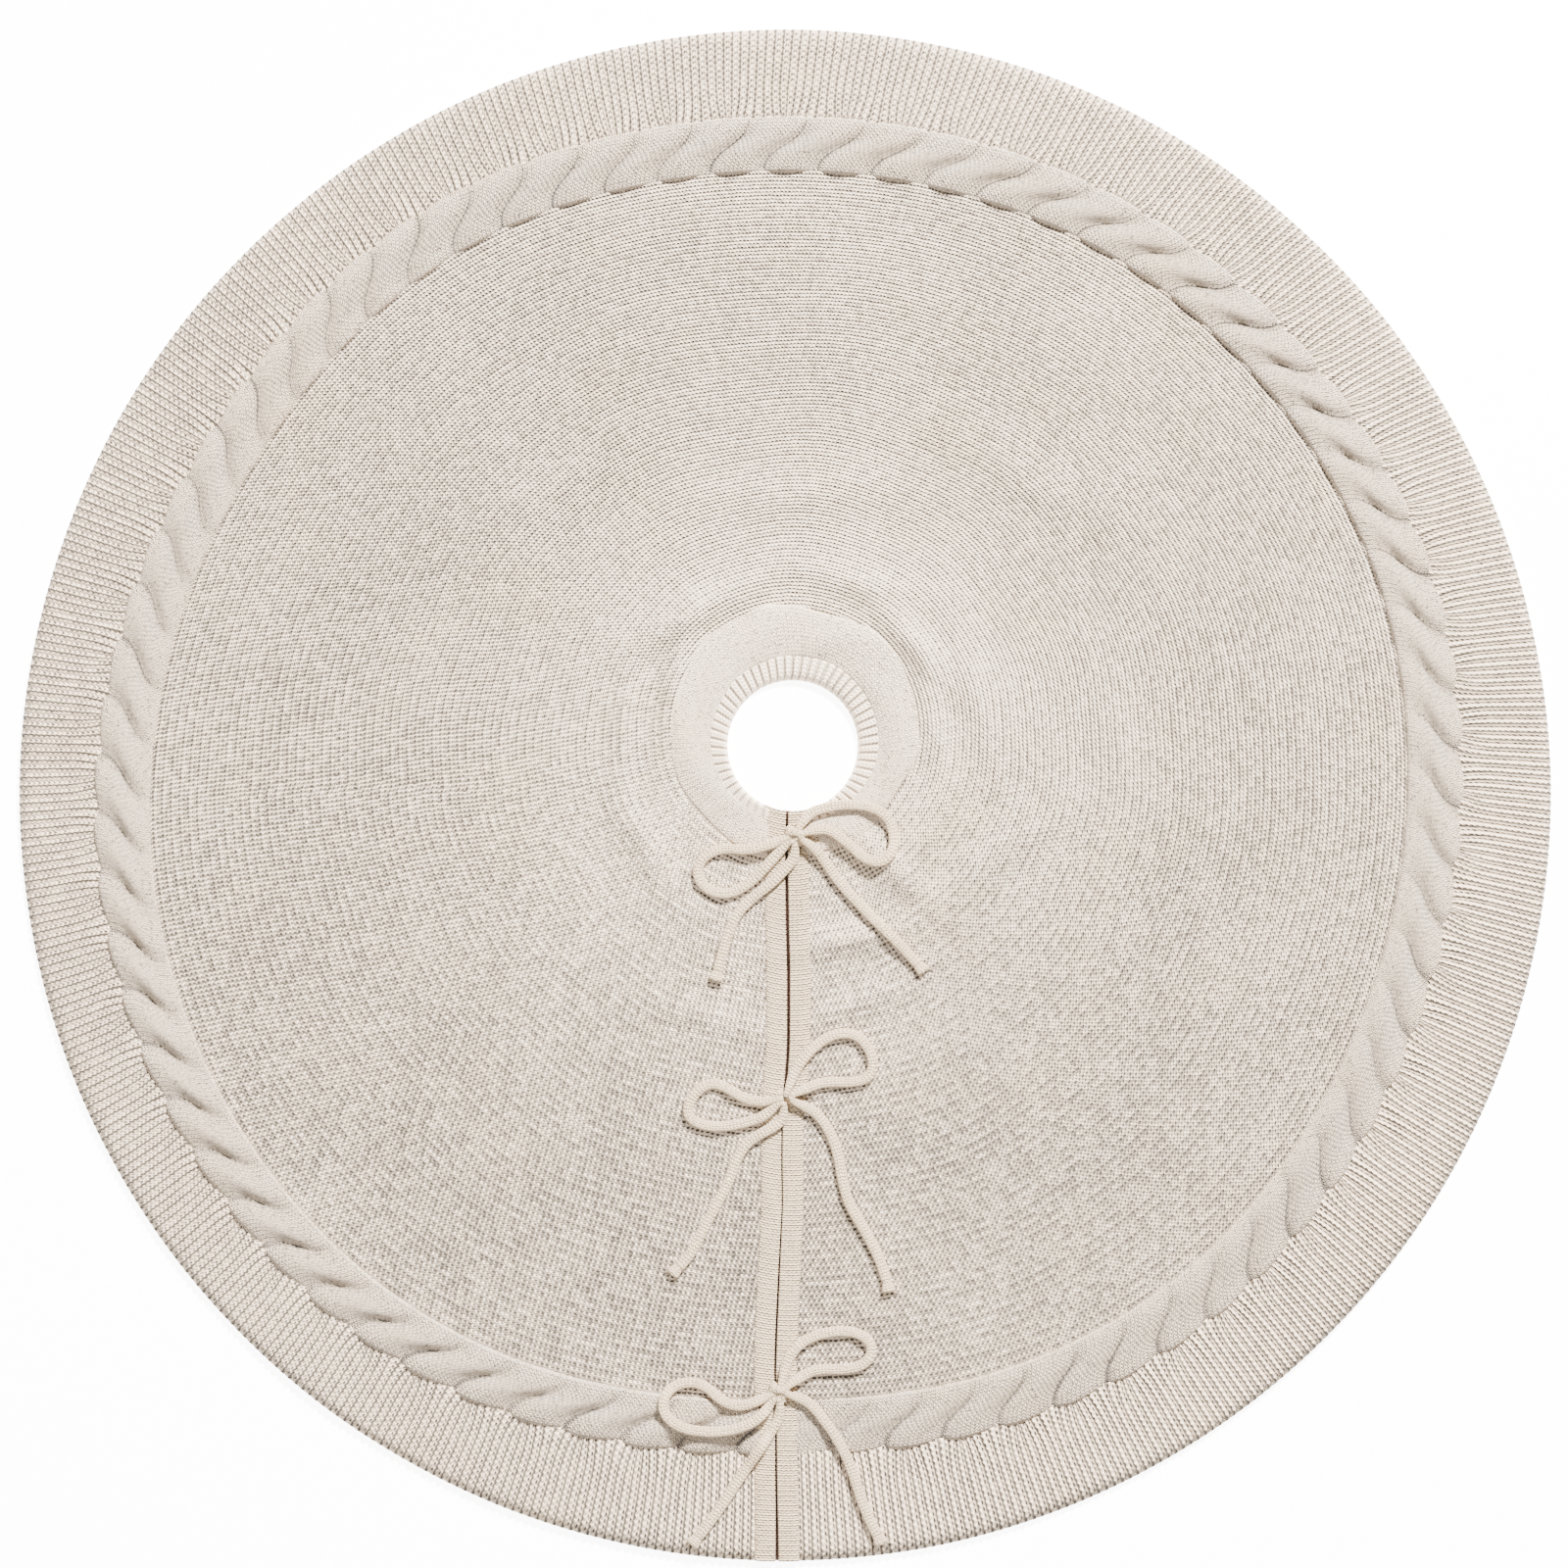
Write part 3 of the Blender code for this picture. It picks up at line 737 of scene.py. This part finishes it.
def put_cable(sizes, looks):
    lobes = sizes.cable_lobes

    def lobe_at(around, across):
        """Place along the rope in lobes, counted so that each crease is a whole number."""
        t = 2 * across - 1
        bend = 0.38 * np.tanh(1.9 * t) / math.tanh(1.9) + t * 0.02
        return lobes * around + bend

    def shape(around, across):
        t = 2 * across - 1
        lobe = lobe_at(around, across)
        within = lobe - np.floor(lobe)
        full = np.clip(np.sin(math.pi * within ** (1 - 0.38 * t)), 0, 1)
        back = np.exp(-(((around - CABLE_BACK) / CABLE_BACK_REACH) ** 2))
        plain = (1 - back) * np.clip(1 - across / 0.45, 0, 1) + back * np.clip((across - 0.6) / 0.4, 0, 1)
        full = full + (1 - full) * 0.85 * plain ** 1.3
        scallop = (0.0048 + 0.0016 * np.sign(t)) * (full ** 0.6 - 0.62) * np.abs(t) ** 4
        x, y = ring_plan(FIELD, CABLE, around, across, ring_ends(), scallop * np.sign(t))
        x, y = stray(CABLE, 1.0, x, y)
        arch = np.sqrt(np.clip(1 - t ** 2, 0, 1))
        awake = 0.25 + 0.75 * np.clip(lobes * around / 1.6, 0, 1) ** 2
        rope = arch ** 0.75 * (0.06 + 0.94 * full ** 0.85) * awake
        z = 0.0042 + 0.0080 * rope + drape(x, y) + soft_folds(x, y)
        return x, y, z

    mesh = bent_grid(
        "rope_ring", lobes * 14, 26, shape,
        lambda around, across: (CABLE_COLUMNS * lobe_at(around, across), across * CABLE_COURSES + 0 * around),
    )
    face_up(mesh)
    rope = (CABLE_COLUMNS, float(lobes), float(CABLE_COURSES))
    finish = stocking_finish("cable knit", looks, (0.86, 0.85, 0.83), 0.0030, 1.0, rope=rope)
    piece = place_piece("rope_ring", mesh, finish, ["rope_cable"])
    give_thickness(piece, 0.004)
    length = math.pi * (FIELD[1] + CABLE[1])
    CABLE[1] - FIELD[1]


def put_border(sizes, looks):
    ridges = sizes.border_ridges

    def shape(around, across):
        notch = np.sin(math.tau * (sizes.cable_lobes * around + 0.55)) * np.clip(1 - across / 0.45, 0, 1) ** 2
        around = around + 0.11 * notch * np.minimum(1, 40 * around * (1 - around)) / sizes.cable_lobes
        x, y = ring_plan(tucked(CABLE, -RING_UNDER_CABLE), RIM, around, across, ring_ends())
        x, y = stray(CABLE, (1 - across) ** 1.2, x, y)
        ridge = 0.0010 * np.cos(math.tau * ridges * around)
        curl = -0.0018 * np.clip((across - 0.93) / 0.07, 0, 1) ** 2
        under = -0.0024 * np.clip((0.04 - across) / 0.04, 0, 1)
        z = 0.0056 + ridge + curl + under + drape(x, y)
        return x, y, z

    courses = ridges * 2
    mesh = bent_grid("rim_border", ridges * 4, 10, shape, lambda around, across: (across, around * courses))
    face_up(mesh)
    finish = garter_finish(
        "sideways knit", looks, (0.89, 0.87, 0.84), (17.0, 0.0), pit=0.42, valley=0.85, loose=0.5
    )
    piece = place_piece("rim_border", mesh, finish, ["garter_border"])
    give_thickness(piece, 0.0038)
    length = math.pi * (CABLE[1] + RIM[1])
    RIM[1] - CABLE[1]


def put_plackets(looks):
    finish = garter_finish(
        "placket knit", looks, (0.76, 0.725, 0.62), (6.0, 0.0), pit=0.32, valley=0.28, loose=0.6, depth=0.0012
    )
    # The bands' inner edges get the slit's painted shadow.
    shade_edge(finish, looks)
    for side, name in ((1, "right_placket"), (-1, "left_placket")):
        def shape(around, across, side=side):
            y = RIM[0][1] - RIM[1] + (NECK[0][1] - NECK[1] - RIM[0][1] + RIM[1]) * around
            edge = np.clip(across / 0.25, 0, 1)
            away = np.clip((across - 0.25) / 0.75, 0, 1)
            gap = slit_gap(y) / 2
            # The right band's lower edge laps into the left one's, so that no floor shows through the slit.
            lap = 0.0012 if side > 0 else -0.0001
            offset = (gap + lap) * (1 - (1 - edge) ** 2.5) - lap + PLACKET_WIDTH * away
            x = slit_x(y) + side * (offset + 0.0003 * np.sin(410 * y + side) * away)
            y = y + dip(RIM, x) * (1 - around) + dip(NECK, x) * around
            flush = np.clip((away - 0.7) / 0.3, 0, 1) ** 2
            z = 0.0026 + 0.0038 * edge ** 2.2 + 0.0006 * np.sin(math.pi * away) - 0.0014 * flush
            return x, y, z + edge * (drape(x, y) + 0.8 * soft_folds(x, y))

        mesh = bent_grid(
            name + "_cloth", 480, 20, shape, lambda around, across: (across, around * 300 + 0 * across)
        )
        face_up(mesh)
        piece = place_piece(name + "_cloth", mesh, finish, [name])
        give_thickness(piece, 0.0022)


def tucked(circle, reach):
    """A circle moved outward, for cloth that runs on under its neighbour."""
    return circle[0], circle[1] + reach


def dip(circle, x):
    """How far a circle's lower edge rises from its lowest point at each X."""
    return circle[1] - np.sqrt(circle[1] ** 2 - (x - circle[0][0]) ** 2)


def shade_edge(finish, looks):
    """Paints the slit's shadow on the folded edge's lower half: below a height its colour turns to the slit's
    shadow colour.
    """
    tree = finish.node_tree
    surface = next(node for node in tree.nodes if node.type == "BSDF_PRINCIPLED")
    tone = Wire(tree, surface.inputs["Base Color"].links[0].from_socket)
    place = Wire(tree).node("ShaderNodeTexCoord", output="Object")
    z = place.node("ShaderNodeSeparateXYZ", None, {0: place}).other("Z")
    # Painted shadow: low on the edge, the colour blends to the deep brown of the slit's shade.
    deep = tone.blend(z.held(0.0060, 0.0050), tone, colour(looks.slit_shadow_colour))
    tree.links.new(deep.socket, surface.inputs["Base Color"])


def rib_finish(name, looks):
    """Ribbing: a raised column between dashes of painted shade in the gutters."""
    finish, place, column, course = new_finish(name)
    jitter = place.noise(260.0, 1.0, place)
    middle = (column.fract() - 0.5).absolute()
    gutter = (middle - 0.5).bell(0.13)
    dash = ((course + jitter).fract() - 0.5).bell(0.36)
    leg = (middle - 0.18).bell(0.16) * ((course * 1.0 + middle * 2.0).fract() - 0.5).bell(0.3)
    tone = yarn_base(place, looks, (0.90, 0.89, 0.875))
    # Painted shade in the gutters between the ribs and, more lightly, off the legs' strokes.
    shade = gutter * (dash * 0.6 + 0.35) * (place.noise(30.0, 1.0, place).held(0.3, 0.6) * 0.6 + 0.4)
    base = place.blend((shade * 0.8 + (0.5 - leg) * 0.2).held(0.0, 1.0), tone, colour(looks.shade_colour))
    close_finish(finish, base, leg * 0.8 - gutter, 0.0012)
    return finish


def put_seams(looks):
    """The chains that link the rings to each other, and the plackets to the rings."""
    finish = stocking_finish("linking yarn", looks, (0.80, 0.79, 0.77), 0.0006, 0.5)
    rings = (
        ("seam_trim_to_collar", TRIM, 0.0, 0.0052), ("seam_collar_to_field", COLLAR, 0.0, 0.0050),
        ("seam_field_to_cable", FIELD, 1.0, 0.0044), ("seam_cable_to_border", CABLE, 1.0, 0.0044),
    )
    for node, circle, share, height in rings:
        steps = np.linspace(0, 1, int(circle[1] * 1400))
        x, y = ring_plan(circle, circle, steps, 0 * steps, ring_ends() + 0.001)
        x, y = stray(CABLE, share, x, y)
        z = height - 0.0016 + drape(x, y) + (0.8 * soft_folds(x, y) if share == 0 else 0)
        path = np.stack((x, y, z), axis=1)
        mesh = tube(node + "_chain", path, 0.0011, 0.0009, 8, knit_chart(2, 0.004))
        place_piece(node + "_chain", mesh, finish, [node])
    for side, node in ((1, "right_placket_seam"), (-1, "left_placket_seam")):
        low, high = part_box(node)
        y = np.linspace(low.y + 0.006, high.y - 0.004, 260)
        x = slit_x(y) + side * (slit_gap(y) / 2 + PLACKET_WIDTH)
        path = np.stack((x, y, 0.0040 + drape(x, y)), axis=1)
        mesh = tube(node + "_chain", path, 0.0009, 0.0008, 8, knit_chart(2, 0.004))
        place_piece(node + "_chain", mesh, finish, [node])


# --- Ties ---

def ground():
    """The cloth that lies under the ties, ready for finding its height."""
    view = bpy.context.evaluated_depsgraph_get()
    rings = ("neck_trim", "plain_collar", "rope_ring", "rim_border")
    return [
        BVHTree.FromObject(piece, view)
        for piece in bpy.context.scene.objects
        if piece.name.endswith("_cloth") or piece.name in rings
    ]


def height_under(trees, x, y):
    tops = [0.0]
    for tree in trees:
        hit = tree.ray_cast(Vector((x, y, 0.06)), Vector((0, 0, -1)))[0]
        if hit is not None:
            tops.append(hit.z)
    return max(tops)


def smooth_route(points, step):
    """A rounded line through given points, cut to even steps."""
    points = np.asarray(points, dtype=float)
    for _ in range(3):
        cut = np.empty((2 * len(points) - 2, points.shape[1]))
        cut[0::2] = 0.75 * points[:-1] + 0.25 * points[1:]
        cut[1::2] = 0.25 * points[:-1] + 0.75 * points[1:]
        points = np.vstack((points[:1], cut, points[-1:]))
    lengths = np.concatenate([[0], np.cumsum(np.linalg.norm(np.diff(points, axis=0), axis=1))])
    even = np.linspace(0, lengths[-1], max(int(lengths[-1] / step), 4))
    return np.stack([np.interp(even, lengths, points[:, axis]) for axis in range(points.shape[1])], axis=1)


def laid(route, trees, half_width, half_height, knot, lift):
    """Heights for a route: on the cloth, and raised where it runs into the knot."""
    ahead = np.gradient(route, axis=0)
    ahead /= np.linalg.norm(ahead, axis=1)[:, None]
    side = np.stack((-ahead[:, 1], ahead[:, 0]), axis=1)
    reaches = (-0.8 * half_width, 0, 0.8 * half_width)
    under = np.array([
        max(height_under(trees, *(place + side_way * reach)) for reach in reaches)
        for place, side_way in zip(route, side)
    ])
    raised = np.array([under[max(0, i - 2):i + 3].max() for i in range(len(under))])
    window = np.hanning(9)[1:-1]
    eased = np.convolve(np.pad(raised, 3, mode="edge"), window / window.sum(), mode="valid")
    near = np.clip(1 - np.linalg.norm(route - np.asarray(knot), axis=1) / 0.022, 0, 1)
    return np.maximum(eased, under) + half_height * 0.96 + lift * near ** 1.5


def joined(name, meshes):
    """Several meshes as one."""
    whole = bmesh.new()
    for mesh in meshes:
        whole.from_mesh(mesh)
    made = bpy.data.meshes.new(name)
    whole.to_mesh(made)
    whole.free()
    return made


def put_bow(name, bow, sizes, finish, trees):
    half_width, half_height = sizes.tie_width / 2, sizes.tie_thickness / 2
    knot = bow["knot"]
    base = height_under(trees, *knot) - 0.0062
    bands = []
    for places, wide, high in KNOT_BANDS:
        route = smooth_route([(knot[0] + x, knot[1] + y, base + z) for x, y, z in places], 0.0012)
        taper = np.clip(np.minimum(np.arange(len(route)), np.arange(len(route))[::-1]) / 2 + 0.5, 0, 1)
        bands.append(tube(name, route, wide * taper, high * taper, 24, knit_chart(7, 0.0026)))
    place_piece(name + "_knot", joined(name + "_knot", bands), finish, [name + "_bow_knot"])
    for side, lift in (("right", 0.0034), ("left", 0.0022)):
        tail = list(bow[side + "_tail"])
        end = np.array(tail[-1])
        way = end - np.array(tail[-2])
        way /= np.linalg.norm(way)
        line = [knot, *bow[side + "_loop"], knot, *tail[:-1], tuple(end - way * 0.003)]
        flat = smooth_route(line, 0.0025)
        height = laid(flat, trees, half_width, half_height, knot, lift)
        path = np.column_stack((flat, height))
        gone = np.linalg.norm(flat - np.asarray(knot), axis=1)
        pinch = 0.55 + 0.45 * np.clip((gone - 0.004) / 0.014, 0, 1)
        index = np.arange(len(path))
        tips = np.clip(np.minimum(index, index[::-1]) / 2 + 0.6, 0, 1)
        chart = knit_chart(8, 0.0028)
        mesh = tube(f"{name}_{side}_tie", path, half_width * pinch * tips, half_height * tips, 20, chart)
        tie = place_piece(
            f"{name}_{side}_tie", mesh, finish, [f"{name}_{side}_loop", f"{name}_{side}_tail"]
        )
        tip = put_end(f"{name}_{side}", path[-1], way, half_width, half_height, finish)


def put_end(name, start, way, half_width, half_height, finish):
    """The cord's square end, cast off in a small lump with two yarn tips."""
    side = np.array((-way[1], way[0], 0))
    ahead = np.array((way[0], way[1], 0))
    block = np.array([start + ahead * reach for reach in np.linspace(-0.0020, 0.0065, 9)])
    swell = np.array([0.80, 1.00, 1.06, 1.12, 1.18, 1.24, 1.28, 1.26, 1.00])
    parts = [tube(name, block, half_width * swell, half_height * swell, 20, knit_chart(8, 0.0020))]
    for reach, turn in ((0.75, 0.5), (-0.70, -0.35)):
        tip = [
            start + ahead * (0.0045 + 0.0009 * step) + side * (reach * half_width + turn * 0.0003 * step ** 2)
            - np.array((0, 0, 0.0002 * step))
            for step in range(6)
        ]
        parts.append(tube(name, tip, 0.0010 - 0.00013 * np.arange(6), 0.0008, 8, knit_chart(2, 0.0020)))
    return place_piece(f"{name}_end", joined(f"{name}_end", parts), finish, [f"{name}_tie_end"])


def put_ties(sizes, looks):
    finish = stocking_finish("tie knit", looks, (0.73, 0.69, 0.58), 0.0013, 0.50, 1.0)
    trees = ground()
    for name, bow in BOWS.items():
        put_bow(name, bow, sizes, finish, trees)


# --- Stage ---

def put_stage(looks):
    plain = bmesh.new()
    bmesh.ops.create_grid(plain, x_segments=1, y_segments=1, size=4.0)
    mesh = bpy.data.meshes.new("floor")
    plain.to_mesh(mesh)
    plain.free()
    floor = bpy.data.objects.new("floor", mesh)
    bpy.context.scene.collection.objects.link(floor)
    finish = bpy.data.materials.new("pale floor")
    finish.use_nodes = True
    surface = finish.node_tree.nodes["Principled BSDF"]
    surface.inputs["Base Color"].default_value = colour(looks.floor_colour)
    surface.inputs["Roughness"].default_value = 0.9
    surface.inputs["Emission Color"].default_value = colour(looks.floor_colour)
    surface.inputs["Emission Strength"].default_value = looks.floor_glow
    mesh.materials.append(finish)

    camera = bpy.data.cameras.new("overhead")
    camera.lens = 85
    camera.sensor_width = 36
    eye = bpy.data.objects.new("overhead", camera)
    eye.location = (-0.0009, 0.0089, 1.2512 * 85 / 36)
    bpy.context.scene.collection.objects.link(eye)
    bpy.context.scene.camera = eye

    for name, place, size, power in (
        ("key", (2.4, 5.6, 4.6), 1.05, looks.key_power),
        ("fill", (-1.4, -1.8, 3.2), 1.6, looks.fill_power),
    ):
        lamp = bpy.data.lights.new(name, "AREA")
        lamp.size = size
        lamp.energy = power
        lamp.color = looks.light_colour
        holder = bpy.data.objects.new(name, lamp)
        holder.location = place
        holder.rotation_mode = "QUATERNION"
        holder.rotation_quaternion = (-Vector(place)).to_track_quat("-Z", "Y")
        bpy.context.scene.collection.objects.link(holder)

    world = bpy.data.worlds.new("studio")
    world.use_nodes = True
    world.node_tree.nodes["Background"].inputs["Color"].default_value = colour(looks.light_colour)
    world.node_tree.nodes["Background"].inputs["Strength"].default_value = looks.room_light
    bpy.context.scene.world = world


# --- Add-on ---

class SkirtSizes(bpy.types.PropertyGroup):
    stitch_width: FloatProperty(
        name="Stitch width", description="Width of one garter stitch", default=0.0035, min=0.002, max=0.01,
        subtype="DISTANCE", unit="LENGTH",
    )
    trim_ribs: IntProperty(
        name="Trim ribs", description="Ribs round the trunk hole", default=54, min=12, max=200
    )
    field_ridges: IntProperty(
        name="Field ridges", description="Garter ridges from the collar to the cable",
        default=62, min=10, max=62,
    )
    cable_lobes: IntProperty(
        name="Cable lobes", description="Lobes of the rope cable all round", default=72, min=12, max=150
    )
    border_ridges: IntProperty(
        name="Border ridges", description="Garter ridges across the border all round",
        default=548, min=50, max=900,
    )
    tie_width: FloatProperty(
        name="Tie width", description="Width of the flattened ties", default=0.0086, min=0.003, max=0.02,
        subtype="DISTANCE", unit="LENGTH",
    )
    tie_thickness: FloatProperty(
        name="Tie thickness", description="Thickness of the flattened ties",
        default=0.0050, min=0.002, max=0.01,
        subtype="DISTANCE", unit="LENGTH",
    )


def colour_property(name, description, default):
    return FloatVectorProperty(
        name=name, description=description, default=default, min=0.0, max=1.0, size=3, subtype="COLOR"
    )


class SkirtLooks(bpy.types.PropertyGroup):
    yarn_colour: colour_property("Yarn", "Colour of the cream yarn", (0.95, 0.762, 0.575))
    # Painted shade: the colour mixed in for the shade between stitches, in grooves, gutters and creases.
    shade_colour: colour_property("Stitch shadow", "Colour deep between the stitches", (0.075, 0.058, 0.042))
    # Painted shadow deep in the slit, on the plackets' edges.
    slit_shadow_colour: colour_property("Slit shadow", "Colour deep in the slit", (0.12, 0.06, 0.035))
    floor_colour: colour_property("Floor", "Colour of the floor", (0.95, 0.95, 0.95))
    light_colour: colour_property("Light", "Colour of the lamps", (1.0, 0.985, 0.97))
    floor_glow: FloatProperty(
        name="Floor glow", description="Light the floor gives off", default=9.0, min=0.0, max=20.0
    )
    key_power: FloatProperty(
        name="Key lamp",
        description="Power of the lamp beyond the back",
        default=5700.0,
        min=0.0,
        subtype="POWER",
    )
    fill_power: FloatProperty(
        name="Fill lamp", description="Power of the lamp at the left", default=150.0, min=0.0, subtype="POWER"
    )
    room_light: FloatProperty(
        name="Room light", description="Strength of the even light from all round", default=0.42, min=0.0
    )


class SkirtOperator:
    """What every piece's operator shares."""

    bl_options = {"REGISTER", "UNDO"}

    def execute(self, context):
        self.make(context.scene.skirt_sizes, context.scene.skirt_looks)
        return {"FINISHED"}


class TREESKIRT_OT_trim(SkirtOperator, bpy.types.Operator):
    """Knit the ribbed trim round the trunk hole"""

    bl_idname = "tree_skirt.trim"
    bl_label = "Neck Trim"

    def make(self, sizes, looks):
        put_trim(sizes, looks)


class TREESKIRT_OT_collar(SkirtOperator, bpy.types.Operator):
    """Knit the plain collar"""

    bl_idname = "tree_skirt.collar"
    bl_label = "Collar"

    def make(self, sizes, looks):
        put_collar(looks)


class TREESKIRT_OT_field(SkirtOperator, bpy.types.Operator):
    """Knit the wide garter cloth"""

    bl_idname = "tree_skirt.field"
    bl_label = "Garter Cloth"

    def make(self, sizes, looks):
        put_field(sizes, looks)


class TREESKIRT_OT_cable(SkirtOperator, bpy.types.Operator):
    """Knit the rope cable"""

    bl_idname = "tree_skirt.cable"
    bl_label = "Rope Cable"

    def make(self, sizes, looks):
        put_cable(sizes, looks)


class TREESKIRT_OT_border(SkirtOperator, bpy.types.Operator):
    """Knit the border at the rim"""

    bl_idname = "tree_skirt.border"
    bl_label = "Border"

    def make(self, sizes, looks):
        put_border(sizes, looks)


class TREESKIRT_OT_plackets(SkirtOperator, bpy.types.Operator):
    """Knit the two bands beside the slit"""

    bl_idname = "tree_skirt.plackets"
    bl_label = "Plackets"

    def make(self, sizes, looks):
        put_plackets(looks)


class TREESKIRT_OT_seams(SkirtOperator, bpy.types.Operator):
    """Link the pieces with chain seams"""

    bl_idname = "tree_skirt.seams"
    bl_label = "Seams"

    def make(self, sizes, looks):
        put_seams(looks)


class TREESKIRT_OT_ties(SkirtOperator, bpy.types.Operator):
    """Tie the three bows across the slit"""

    bl_idname = "tree_skirt.ties"
    bl_label = "Ties"

    def make(self, sizes, looks):
        put_ties(sizes, looks)


class TREESKIRT_OT_stage(SkirtOperator, bpy.types.Operator):
    """Set the floor, the lamps and the camera"""

    bl_idname = "tree_skirt.stage"
    bl_label = "Stage"

    def make(self, sizes, looks):
        put_stage(looks)


PIECE_OPERATORS = (
    TREESKIRT_OT_stage, TREESKIRT_OT_trim, TREESKIRT_OT_collar, TREESKIRT_OT_field, TREESKIRT_OT_cable,
    TREESKIRT_OT_border, TREESKIRT_OT_plackets, TREESKIRT_OT_seams, TREESKIRT_OT_ties,
)


class TREESKIRT_PT_panel(bpy.types.Panel):
    """The skirt's sizes, colours and pieces"""

    bl_label = "Tree Skirt"
    bl_space_type = "VIEW_3D"
    bl_region_type = "UI"
    bl_category = "Tree Skirt"

    def draw(self, context):
        for group in (context.scene.skirt_sizes, context.scene.skirt_looks):
            box = self.layout.box()
            for name in group.__annotations__:
                box.prop(group, name)
        for operator in PIECE_OPERATORS:
            self.layout.operator(operator.bl_idname)


CLASSES = (SkirtSizes, SkirtLooks, *PIECE_OPERATORS, TREESKIRT_PT_panel)


def register():
    for kind in CLASSES:
        bpy.utils.register_class(kind)
    bpy.types.Scene.skirt_sizes = PointerProperty(type=SkirtSizes)
    bpy.types.Scene.skirt_looks = PointerProperty(type=SkirtLooks)


def unregister():
    del bpy.types.Scene.skirt_looks
    del bpy.types.Scene.skirt_sizes
    for kind in reversed(CLASSES):
        bpy.utils.unregister_class(kind)


def main():
    register()
    for operator in PIECE_OPERATORS:
        family, name = operator.bl_idname.split(".")
        getattr(getattr(bpy.ops, family), name)()


if __name__ == "__main__":
    main()
